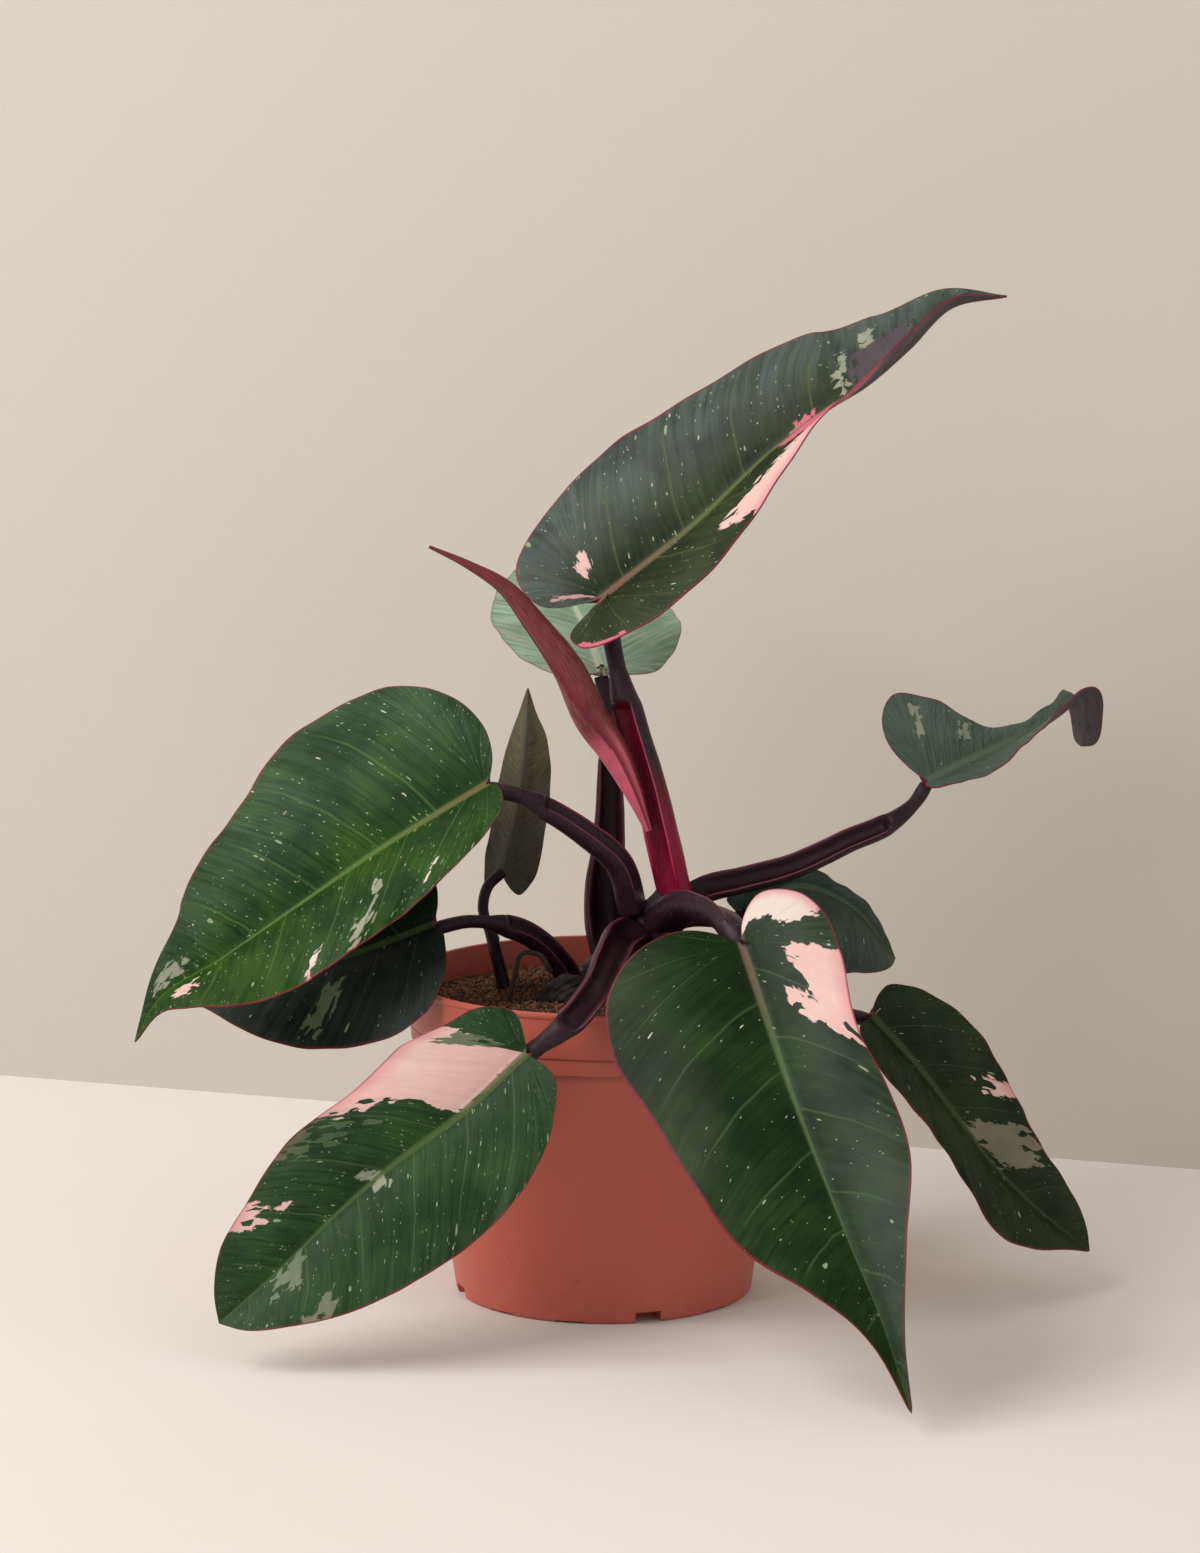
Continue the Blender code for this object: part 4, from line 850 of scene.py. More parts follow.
def build_sector_group():
    """A coloured sector of a blade: it follows the veins, and its edges step in and out in small blocks."""
    tree, given, made = group_tree(
        "vein sector",
        (("Vein", "Vector", None), ("Start", "Float", 0.3), ("End", "Float", 0.4), ("Inner", "Float", 0.2),
         ("Outer", "Float", 1.0), ("Ragged", "Float", 0.2)),
        (("Mask", "Float"),))
    parts = put(tree, "ShaderNodeSeparateXYZ", {0: given["Vein"]}).outputs
    drift = noise(tree, stretched(tree, given["Vein"], (26.0, 5.0, 1.0)), 1.0, 2.0, 0.5)
    block_row = maths(tree, "MULTIPLY_ADD", parts[0], 66.0, drift)
    block_out = maths(tree, "MULTIPLY_ADD", drift, 1.2, maths(tree, "MULTIPLY", parts[1], 8.0))
    bent = put(tree, "ShaderNodeCombineXYZ", {0: block_row, 1: block_out}).outputs[0]
    blocks = put(tree, "ShaderNodeTexVoronoi", {"Vector": bent, "Scale": 1.0, "Randomness": 0.9})
    steps = put(tree, "ShaderNodeSeparateColor", {0: blocks.outputs["Color"]}).outputs
    step_out = maths(tree, "MULTIPLY", maths(tree, "SUBTRACT", steps[0], 0.5), 1.7)
    step_row = maths(tree, "MULTIPLY", maths(tree, "SUBTRACT", steps[1], 0.5), 0.020)
    islands = noise(tree, stretched(tree, given["Vein"], (70.0, 14.0, 1.0), (3.0, 8.0, 0.0)), 1.0, 3.0, 0.6)
    islands = maths(tree, "SUBTRACT", islands, 0.5)
    out = maths(tree, "MULTIPLY_ADD", step_out, given["Ragged"], parts[1])
    out = maths(tree, "MULTIPLY_ADD", islands, maths(tree, "MULTIPLY", given["Ragged"], 0.6), out)
    row = maths(tree, "MULTIPLY_ADD", islands, 0.022, maths(tree, "ADD", parts[0], step_row))
    inside = []
    for low, high, value, soft in ((given["Start"], given["End"], row, 0.0022),
                                   (given["Inner"], given["Outer"], out, 0.012)):
        inside.append(ramp(tree, maths(tree, "SUBTRACT", value, low), -soft, soft))
        inside.append(ramp(tree, maths(tree, "SUBTRACT", high, value), -soft, soft))
    mask = maths(tree, "MULTIPLY", maths(tree, "MULTIPLY", inside[0], inside[1]),
                 maths(tree, "MULTIPLY", inside[2], inside[3]))
    give(tree, made, {"Mask": mask})


def build_fleck_group():
    """Scattered small flecks, short dashes where the vector is stretched: a mask and each fleck's tone."""
    tree, given, made = group_tree(
        "flecks",
        (("Vector", "Vector", None), ("Density", "Float", 0.2), ("Size", "Float", 0.3)),
        (("Mask", "Float"), ("Tone", "Float")))
    bent = put(tree, "ShaderNodeTexNoise", {"Vector": given["Vector"], "Scale": 1.7, "Detail": 2.0})
    warping = {0: bent.outputs[1], 1: (0.35, 0.35, 0.35), 2: given["Vector"]}
    warped = put(tree, "ShaderNodeVectorMath", warping, operation="MULTIPLY_ADD").outputs[0]
    cells = put(tree, "ShaderNodeTexVoronoi", {"Vector": warped, "Scale": 1.0}).outputs
    chance = put(tree, "ShaderNodeSeparateColor", {0: cells["Color"]}).outputs
    size = maths(tree, "MULTIPLY", given["Size"], maths(tree, "POWER", chance[1], 1.6))
    spot = ramp(tree, maths(tree, "SUBTRACT", size, cells["Distance"]), 0.0, 0.06)
    kept = maths(tree, "LESS_THAN", chance[0], given["Density"])
    give(tree, made, {"Mask": maths(tree, "MULTIPLY", spot, kept), "Tone": chance[2]})


def build_grain_group():
    """Soft mottling and fine grain for moulded and natural skins."""
    tree, given, made = group_tree(
        "grain",
        (("Vector", "Vector", None), ("Coarse", "Float", 30.0), ("Fine", "Float", 900.0)),
        (("Mottle", "Float"), ("Grain", "Float"), ("Height", "Float")))
    mottle = noise(tree, given["Vector"], given["Coarse"], 4.0, 0.55)
    grain = noise(tree, given["Vector"], given["Fine"], 2.0, 0.6)
    height = maths(tree, "MULTIPLY_ADD", mottle, 0.4, maths(tree, "MULTIPLY", grain, 0.6))
    give(tree, made, {"Mottle": mottle, "Grain": grain, "Height": height})


def build_groups():
    """The effects that more than one material uses, each built once."""
    build_vein_group()
    build_sector_group()
    build_fleck_group()
    build_grain_group()


def new_material(name):
    material = bpy.data.materials.new(name)
    material.use_nodes = True
    shader = material.node_tree.nodes["Principled BSDF"]
    return material, material.node_tree, shader


def bump(tree, shader, height, strength, distance):
    sockets = {"Strength": strength, "Distance": distance, "Height": height}
    relief = put(tree, "ShaderNodeBump", sockets)
    tree.links.new(relief.outputs[0], shader.inputs["Normal"])


def object_place(tree):
    return put(tree, "ShaderNodeTexCoord").outputs["Object"]


def uv_place(tree, name):
    return put(tree, "ShaderNodeUVMap", uv_map=name).outputs[0]


def attribute(tree, name):
    return put(tree, "ShaderNodeAttribute", attribute_name=name).outputs["Fac"]


def blade_material(key, under, settings):
    """Skin of one side of a blade: greens, painted sheen, veins, flecks, sectors, midrib and margin."""
    look = LOOKS[key]
    material, tree, shader = new_material(f"blade {key} {'underside' if under else 'upper side'}")
    vein = uv_place(tree, "vein")
    flat = uv_place(tree, "flat")
    parts = put(tree, "ShaderNodeSeparateXYZ", {0: vein}).outputs
    on_right = maths(tree, "GREATER_THAN", parts[0], 0.5 * (1 + RIGHT_HALF_SHIFT))
    lines = use_group(tree, "leaf veins", {"Vein": vein, "Main veins": settings.main_veins,
                                           "Fine lines": settings.fine_lines})
    patches = use_group(tree, "grain", {"Vector": flat, "Coarse": 3.0, "Fine": 60.0})
    first, second = UNDERSIDES.get(key, PLAIN_UNDERSIDE) if under else look["greens"]
    colour = tint(tree, ramp(tree, patches["Mottle"], 0.35, 0.65), first, second)
    colour = tint(tree, ramp(tree, lines["Fine"], 0.30, 0.62, 0.55, 0.0), colour, LINE_SHADOW)
    # Painted sheen: a grey-blue painted reflection on each half, streaked along the fine lines, patchy,
    # stronger out towards the edge, and a fifth as strong underneath.
    left_painted_sheen, right_painted_sheen = look["painted_sheen"]
    halves = {0: on_right, 2: left_painted_sheen, 3: right_painted_sheen}
    painted_sheen = put(tree, "ShaderNodeMix", halves, data_type="FLOAT").outputs[0]
    painted_sheen_streaks = maths(tree, "MULTIPLY", ramp(tree, lines["Streak"], 0.20, 0.80, 0.35, 1.0),
                   ramp(tree, patches["Mottle"], 0.30, 0.55, 0.45, 1.0))
    painted_sheen_streaks = maths(tree, "MULTIPLY", painted_sheen_streaks, ramp(tree, parts[1], 0.10, 0.75, 0.25, 1.25))
    if under:
        painted_sheen = maths(tree, "MULTIPLY", painted_sheen, 0.2)
    colour = tint(tree, maths(tree, "MULTIPLY", painted_sheen_streaks, painted_sheen), colour, SHEEN_PAINT_COLOUR)
    vein_colour = UNDERSIDE_VEIN if under else look["midrib"][1]
    colour = tint(tree, maths(tree, "MULTIPLY", lines["Main"], 0.42), colour, vein_colour)
    mottle = noise(tree, stretched(tree, vein, (420.0, 60.0, 1.0)), 1.0, 3.0, 0.7)
    mottle = ramp(tree, mottle, 0.60, 0.74, 0.0, 0.4 * look["mottle"])
    colour = tint(tree, mottle, colour, MOTTLE_GREEN)
    for scale, density, size in FLECK_KINDS:
        spots = use_group(tree, "flecks", {"Vector": stretched(tree, vein, scale),
                                           "Density": density * look["flecks"], "Size": size})
        pale = tint(tree, ramp(tree, spots["Tone"], 0.2, 0.9), FLECK_GREEN, FLECK_CREAM)
        strength = maths(tree, "MULTIPLY", spots["Mask"], 0.35 if under else 0.85)
        colour = tint(tree, strength, colour, pale)
    for side, start, end, inner, outer, ragged, shade in look["sectors"]:
        shift = RIGHT_HALF_SHIFT if side == "right" else 0.0
        area = use_group(tree, "vein sector", {"Vein": vein, "Start": start + shift, "End": end + shift,
                                               "Inner": inner, "Outer": outer, "Ragged": ragged})["Mask"]
        paleness = shade[1]
        warm = tint(tree, ramp(tree, patches["Mottle"], 0.35, 0.62, 0.0, 0.7 * paleness), shade, CREAM)
        warm = tint(tree, ramp(tree, parts[1], 0.80, 1.02, 0.0, paleness), warm, PINK)
        warm = tint(tree, ramp(tree, lines["Fine"], 0.3, 0.6, 0.18, 0.0), warm, times(0.55, shade))
        strength = maths(tree, "MULTIPLY", area, 0.6 if under else 1.0)
        colour = tint(tree, strength, colour, warm)
    flat_parts = put(tree, "ShaderNodeSeparateXYZ", {0: flat}).outputs
    width = ramp(tree, flat_parts[0], 0.0, 1.5, 0.018, 0.004)
    rib = ramp(tree, maths(tree, "SUBTRACT", flat_parts[1], width), -0.010, 0.004, 1.0, 0.0)
    rib_colour = tint(tree, ramp(tree, flat_parts[0], 0.0, 0.5), *look["midrib"])
    if under:
        rib_colour = tint(tree, 0.5, rib_colour, UNDERSIDE_RIB)
    colour = tint(tree, maths(tree, "MULTIPLY", rib, 0.9), colour, rib_colour)
    rim = ramp(tree, parts[1], 0.972, 0.995, 0.0, look["margin"])
    colour = tint(tree, rim, colour, tuple(settings.margin_colour))
    tree.links.new(colour, shader.inputs["Base Color"])
    rough = settings.roughness + (0.12 if under else 0.0)
    gloss = ramp(tree, lines["Streak"], 0.3, 0.7, rough - 0.05, rough + 0.10)
    tree.links.new(gloss, shader.inputs["Roughness"])
    relief = maths(tree, "MULTIPLY_ADD", patches["Grain"], 0.25, lines["Height"])
    bump(tree, shader, relief, 0.22, 0.0003)
    shader.inputs["Specular IOR Level"].default_value = 0.15 if under else 0.10
    return material


def petiole_material(name, warm, settings):
    """Skin of a petiole: streaked, with pale warts, a channel of its own colour and a thin paler sheath edge.

    The newest one is warm: crimson low down and in the channel, with a bright pink edge. Each channel takes
    its own colour more fully towards its middle, where it is deepened as painted shade.
    """
    material, tree, shader = new_material(name)
    skin_colour = tuple(settings.purple)
    place = uv_place(tree, "round")
    grain = use_group(tree, "grain", {"Vector": object_place(tree), "Coarse": 70.0, "Fine": 1600.0})
    streaks = noise(tree, stretched(tree, place, (26.0, 3.0, 1.0)), 1.0, 3.0, 0.6)
    colour = tint(tree, ramp(tree, streaks, 0.35, 0.7), skin_colour, times(1.7, skin_colour))
    colour = tint(tree, ramp(tree, grain["Mottle"], 0.45, 0.7, 0.0, 0.6), colour, times(0.5, skin_colour))
    if warm:
        lengthways = put(tree, "ShaderNodeSeparateXYZ", {0: place}).outputs[1]
        colour = tint(tree, ramp(tree, lengthways, 1.5, 6.0, 1.0, 0.0), colour, tuple(settings.crimson))
    warts = use_group(tree, "flecks", {"Vector": stretched(tree, place, (52.0, 13.0, 1.0)),
                                       "Density": 0.40, "Size": 0.40})
    colour = tint(tree, maths(tree, "MULTIPLY", warts["Mask"], 0.75), colour, WART_GREY)
    # The channel's own colour, laid on ever more fully towards its middle: its real colour, deepened there as
    # painted shade.
    channel = attribute(tree, "channel")
    depth = tuple(settings.crimson) if warm else tuple(settings.channel)
    inside = tint(tree, ramp(tree, streaks, 0.3, 0.7), depth, times(0.3, depth))
    colour = tint(tree, ramp(tree, channel, 0.05, 0.5, 0.0, 0.95), colour, inside)
    edge_colour = tuple(settings.bright_pink) if warm else tuple(settings.wing_edge)
    edge = ramp(tree, attribute(tree, "edge"), 0.55, 0.95, 0.0, 0.5 if warm else 0.8)
    colour = tint(tree, edge, colour, edge_colour)
    tree.links.new(colour, shader.inputs["Base Color"])
    tree.links.new(ramp(tree, streaks, 0.3, 0.7, 0.30, 0.46), shader.inputs["Roughness"])
    shader.inputs["Specular IOR Level"].default_value = 0.22
    height = maths(tree, "MULTIPLY_ADD", warts["Mask"], 0.6, maths(tree, "MULTIPLY", streaks, 0.5))
    bump(tree, shader, maths(tree, "MULTIPLY_ADD", grain["Grain"], 0.2, height), 0.6, 0.0005)
    return material


def pot_material(settings):
    """Satin moulded plastic: faintly mottled and streaked, dusty low down, painted shade in and under the
    band.
    """
    material, tree, shader = new_material("terracotta plastic")
    place = object_place(tree)
    grain = use_group(tree, "grain", {"Vector": place, "Coarse": 16.0, "Fine": 1500.0})
    base = tuple(settings.colour)
    colour = tint(tree, ramp(tree, grain["Mottle"], 0.3, 0.7), times(0.96, base), times(1.03, base))
    streaks = noise(tree, stretched(tree, place, (90.0, 90.0, 5.0)), 1.0, 3.0, 0.6)
    colour = tint(tree, ramp(tree, streaks, 0.45, 0.75, 0.0, 0.10), colour, times(0.78, base))
    dust = noise(tree, place, 130.0, 4.0, 0.7)
    height = put(tree, "ShaderNodeSeparateXYZ", {0: place}).outputs[2]
    low = ramp(tree, height, 0.0, 0.020, 0.12, 0.01)
    dust = maths(tree, "MULTIPLY", ramp(tree, dust, 0.48, 0.68), low)
    colour = tint(tree, dust, colour, POT_DUST)
    specks = use_group(tree, "flecks", {"Vector": stretched(tree, place, (420.0, 420.0, 420.0)),
                                        "Density": 0.05, "Size": 0.45})
    colour = tint(tree, maths(tree, "MULTIPLY", specks["Mask"], 0.20), colour, POT_SPECK)
    # Painted shade: the groove line is darkened, and so is a strip just under the rim band, where the band's
    # shadow falls.
    band = (POT_HEIGHT - RIM_BAND) * MM
    groove = maths(tree, "COMPARE", height, band + GROOVE_RISE * MM, 0.0005)
    below = maths(tree, "LESS_THAN", height, band)
    shade_under_band = maths(tree, "MULTIPLY", ramp(tree, height, band - 0.0035, band), below)
    painted_band_shade = maths(tree, "MULTIPLY_ADD", groove, 0.45, maths(tree, "MULTIPLY", shade_under_band, 0.55))
    colour = tint(tree, painted_band_shade, colour, times(0.35, base))
    tree.links.new(colour, shader.inputs["Base Color"])
    rough = ramp(tree, grain["Mottle"], 0.3, 0.7, settings.roughness - 0.05, settings.roughness + 0.08)
    tree.links.new(maths(tree, "MULTIPLY_ADD", dust, 0.3, rough), shader.inputs["Roughness"])
    shader.inputs["Specular IOR Level"].default_value = 0.3
    bump(tree, shader, grain["Height"], 0.12, 0.0003)
    return material


def soil_material(name, settings):
    """Coir and crumb: each crumb has its own tone, from near black to orange brown."""
    material, tree, shader = new_material(name)
    place = object_place(tree)
    grain = use_group(tree, "grain", {"Vector": place, "Coarse": 260.0, "Fine": 1900.0})
    tone = attribute(tree, "tone")
    mixed = maths(tree, "MULTIPLY_ADD", grain["Mottle"], 0.6, maths(tree, "MULTIPLY", tone, 0.7))
    colour = tint(tree, ramp(tree, mixed, 0.25, 0.95), tuple(settings.dark), tuple(settings.light))
    colour = tint(tree, ramp(tree, grain["Grain"], 0.45, 0.75, 0.0, 0.5), colour, times(0.4, settings.dark))
    tree.links.new(colour, shader.inputs["Base Color"])
    tree.links.new(ramp(tree, grain["Mottle"], 0.3, 0.7, 0.85, 1.0), shader.inputs["Roughness"])
    bump(tree, shader, grain["Height"], 0.8, 0.0008)
    return material


def bark_material(name, base, scar, rough):
    """Skin of the stem, a root or a dried sheath: lengthwise grain with darker cracks and pale scars."""
    material, tree, shader = new_material(name)
    place = uv_place(tree, "round")
    grain = use_group(tree, "grain", {"Vector": object_place(tree), "Coarse": 90.0, "Fine": 1700.0})
    streaks = noise(tree, stretched(tree, place, (30.0, 5.0, 1.0)), 1.0, 4.0, 0.65)
    colour = tint(tree, ramp(tree, streaks, 0.35, 0.7), base, times(0.45, base))
    colour = tint(tree, ramp(tree, grain["Mottle"], 0.5, 0.72, 0.0, 0.7), colour, scar)
    spots = use_group(tree, "flecks", {"Vector": stretched(tree, place, (30.0, 10.0, 1.0)),
                                       "Density": 0.25, "Size": 0.38})
    colour = tint(tree, maths(tree, "MULTIPLY", spots["Mask"], 0.5), colour, times(1.3, scar))
    tree.links.new(colour, shader.inputs["Base Color"])
    tree.links.new(ramp(tree, streaks, 0.3, 0.7, rough, rough + 0.2), shader.inputs["Roughness"])
    height = maths(tree, "MULTIPLY_ADD", streaks, 0.8, maths(tree, "MULTIPLY", grain["Height"], 0.6))
    bump(tree, shader, height, 0.6, 0.0006)
    return material


def rolled_material(settings):
    """Skin of the rolled new leaf: rose to brown-red, lined lengthwise, a pink strip and painted edge shadow.
    """
    material, tree, shader = new_material("rolled leaf rose")
    place = uv_place(tree, "round")
    grain = use_group(tree, "grain", {"Vector": object_place(tree), "Coarse": 60.0, "Fine": 1600.0})
    parts = put(tree, "ShaderNodeSeparateXYZ", {0: place}).outputs
    veins = noise(tree, stretched(tree, place, (46.0, 1.6, 1.0)), 1.0, 3.0, 0.6)
    colour = tint(tree, ramp(tree, veins, 0.3, 0.7), tuple(settings.rose), tuple(settings.brown_red))
    pink = maths(tree, "MULTIPLY", ramp(tree, parts[1], 3.2, 4.6, 1.0, 0.0), ramp(tree, parts[0], 0.60, 0.66))
    colour = tint(tree, maths(tree, "MULTIPLY", pink, 0.8), colour, tuple(settings.bright_pink))
    # Painted shadow: the sheet just beneath the overlapping free edge is darkened, where the edge's shadow
    # falls.
    edge = ramp(tree, attribute(tree, "under_edge"), 0.1, 0.8, 0.0, 0.85)
    colour = tint(tree, edge, colour, tuple(settings.edge_shadow_colour))
    colour = tint(tree, ramp(tree, grain["Mottle"], 0.45, 0.7, 0.0, 0.35), colour, ROLLED_MOTTLE)
    tree.links.new(colour, shader.inputs["Base Color"])
    tree.links.new(ramp(tree, veins, 0.3, 0.7, 0.32, 0.45), shader.inputs["Roughness"])
    shader.inputs["Specular IOR Level"].default_value = 0.3
    bump(tree, shader, maths(tree, "MULTIPLY_ADD", grain["Grain"], 0.2, veins), 0.35, 0.0003)
    return material


def stage_material(name, colour, one_sided):
    """Matt paint; a one-sided wall is clear from behind, so that it never hides the plant."""
    material, tree, shader = new_material(name)
    grain = use_group(tree, "grain", {"Vector": object_place(tree), "Coarse": 0.8, "Fine": 700.0})
    shade = tint(tree, ramp(tree, grain["Mottle"], 0.3, 0.7, 0.0, 0.4), colour, times(0.92, colour))
    tree.links.new(shade, shader.inputs["Base Color"])
    tree.links.new(ramp(tree, grain["Grain"], 0.2, 0.8, 0.75, 0.9), shader.inputs["Roughness"])
    if one_sided:
        behind = put(tree, "ShaderNodeNewGeometry").outputs["Backfacing"]
        clear = put(tree, "ShaderNodeBsdfTransparent").outputs[0]
        seen = put(tree, "ShaderNodeMixShader", {0: behind, 1: shader.outputs[0], 2: clear}).outputs[0]
        tree.links.new(seen, tree.nodes["Material Output"].inputs["Surface"])
    return material


# Pieces


def place_piece(name, mesh, materials, nodes=()):
    """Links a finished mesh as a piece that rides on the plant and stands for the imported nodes."""
    piece = bpy.data.objects.new(name, mesh)
    bpy.context.scene.collection.objects.link(piece)
    for material in materials:
        mesh.materials.append(material)
    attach(piece, "root")
    if nodes:
        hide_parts(*nodes)
    return piece


def settled_mesh(obj):
    """The object's mesh with its modifiers carried out."""
    bpy.context.view_layer.update()
    graph = bpy.context.evaluated_depsgraph_get()
    mesh = bpy.data.meshes.new_from_object(obj.evaluated_get(graph))
    obj.modifiers.clear()
    return mesh


def helper(name, data):
    """A linked object that isn't a finished piece."""
    obj = bpy.data.objects.new(name, data)
    bpy.context.scene.collection.objects.link(obj)
    return obj


def wall_radius(height):
    """Outer radius of the pot's tapered body at a height."""
    top = POT_HEIGHT - RIM_BAND
    return BASE_RADIUS + (BODY_TOP_RADIUS - BASE_RADIUS) * height / top


def turned_mesh(name, profile, segments):
    """Turned mesh of a profile that starts and ends on the axis."""
    angle = 2 * math.pi * np.arange(segments) / segments
    ring = np.stack([np.cos(angle), np.sin(angle)], -1)
    inner = profile[1:-1]
    points = [(0.0, 0.0, profile[0][1]), (0.0, 0.0, profile[-1][1])]
    for radius, height in inner:
        points += [(radius * x, radius * y, height) for x, y in ring]
    faces = []
    for k in range(segments):
        after = (k + 1) % segments
        faces.append((0, 2 + k, 2 + after))
        last = 2 + (len(inner) - 1) * segments
        faces.append((1, last + after, last + k))
        for j in range(len(inner) - 1):
            low = 2 + j * segments
            faces.append((low + k, low + segments + k, low + segments + after, low + after))
    mesh = bpy.data.meshes.new(name)
    mesh.from_pydata([tuple(c * MM for c in point) for point in points], [], faces)
    work = bmesh.new()
    work.from_mesh(mesh)
    bmesh.ops.recalc_face_normals(work, faces=work.faces)
    work.to_mesh(mesh)
    work.free()
    return mesh


def rounded(corner, steps):
    """Points that round a corner of a profile."""
    return [(corner[0] + out, corner[1] + up) for out, up in steps]


def pot_profile():
    """Half section of the pot: up the inside, over the rim, down the outside and in under the foot."""
    band = POT_HEIGHT - RIM_BAND
    floor = UNDER_RECESS + POT_FLOOR
    inner_rim = RIM_RADIUS - RIM_LIP
    inner_top = BODY_TOP_RADIUS - POT_WALL
    return [
        (0.0, floor),
        *rounded((wall_radius(floor) - POT_WALL, floor), FLOOR_INSIDE),
        *((wall_radius(up) - POT_WALL, up) for up in np.linspace(floor + 1.2, band - 2.0, INSIDE_RINGS)),
        *rounded((inner_top, band), SHOULDER_INSIDE),
        *rounded((inner_rim, band), RIM_FOOT_INSIDE),
        *rounded((inner_rim, POT_HEIGHT), RIM_TOP_INSIDE),
        *rounded((RIM_RADIUS, POT_HEIGHT), RIM_TOP_OUTSIDE),
        *rounded((BAND_FOOT_RADIUS, band + GROOVE_RISE), GROOVE),
        *rounded((BAND_FOOT_RADIUS, band), BAND_FOOT),
        *rounded((BODY_TOP_RADIUS, band), SHOULDER_OUTSIDE),
        *((wall_radius(up), up) for up in np.linspace(band - 1.4, 2.0, OUTSIDE_RINGS)),
        *rounded((BASE_RADIUS, 0.0), FOOT_OUTSIDE),
        *rounded((FOOT_RING_INNER, 0.0), FOOT_INSIDE),
        (FOOT_RING_INNER - 1.0, UNDER_RECESS),
        (PAD_RADIUS + 1.0, UNDER_RECESS),
        (PAD_RADIUS, 0.0),
        (0.0, 0.0),
    ]


def slot_cutter(k):
    """Block that cuts one drainage slot through the foot ring."""
    angle = math.radians(FIRST_SLOT_ANGLE + k * 360.0 / FOOT_SLOTS)
    width, height = DEEP_SLOT if k % DEEP_SLOT_EVERY == 0 else SHALLOW_SLOT
    work = bmesh.new()
    bmesh.ops.create_cube(work, size=1.0)
    middle = BASE_RADIUS - 1.0
    cosine, sine = math.cos(angle), math.sin(angle)
    for vertex in work.verts:
        x, y, z = vertex.co.x * width, vertex.co.y * SLOT_REACH - middle, vertex.co.z * 2 * height
        vertex.co = Vector((x * cosine - y * sine, x * sine + y * cosine, z)) * MM
    mesh = bpy.data.meshes.new("slot")
    work.to_mesh(mesh)
    work.free()
    return helper(f"slot_{k}", mesh)


def soil_height(x, y, radius):
    """Top of the soil, in millimetres: a low mound with soft lumps."""
    share = np.clip(np.hypot(x, y) / radius, 0, 1)
    lumps = np.sin(x / 7.0 + 1.0) * np.cos(y / 8.5) + 0.6 * np.sin((x + y) / 4.7)
    return SOIL_EDGE_HEIGHT + SOIL_MOUND * (1 - share**2) + SOIL_BUMP * lumps * (1 - share**6)


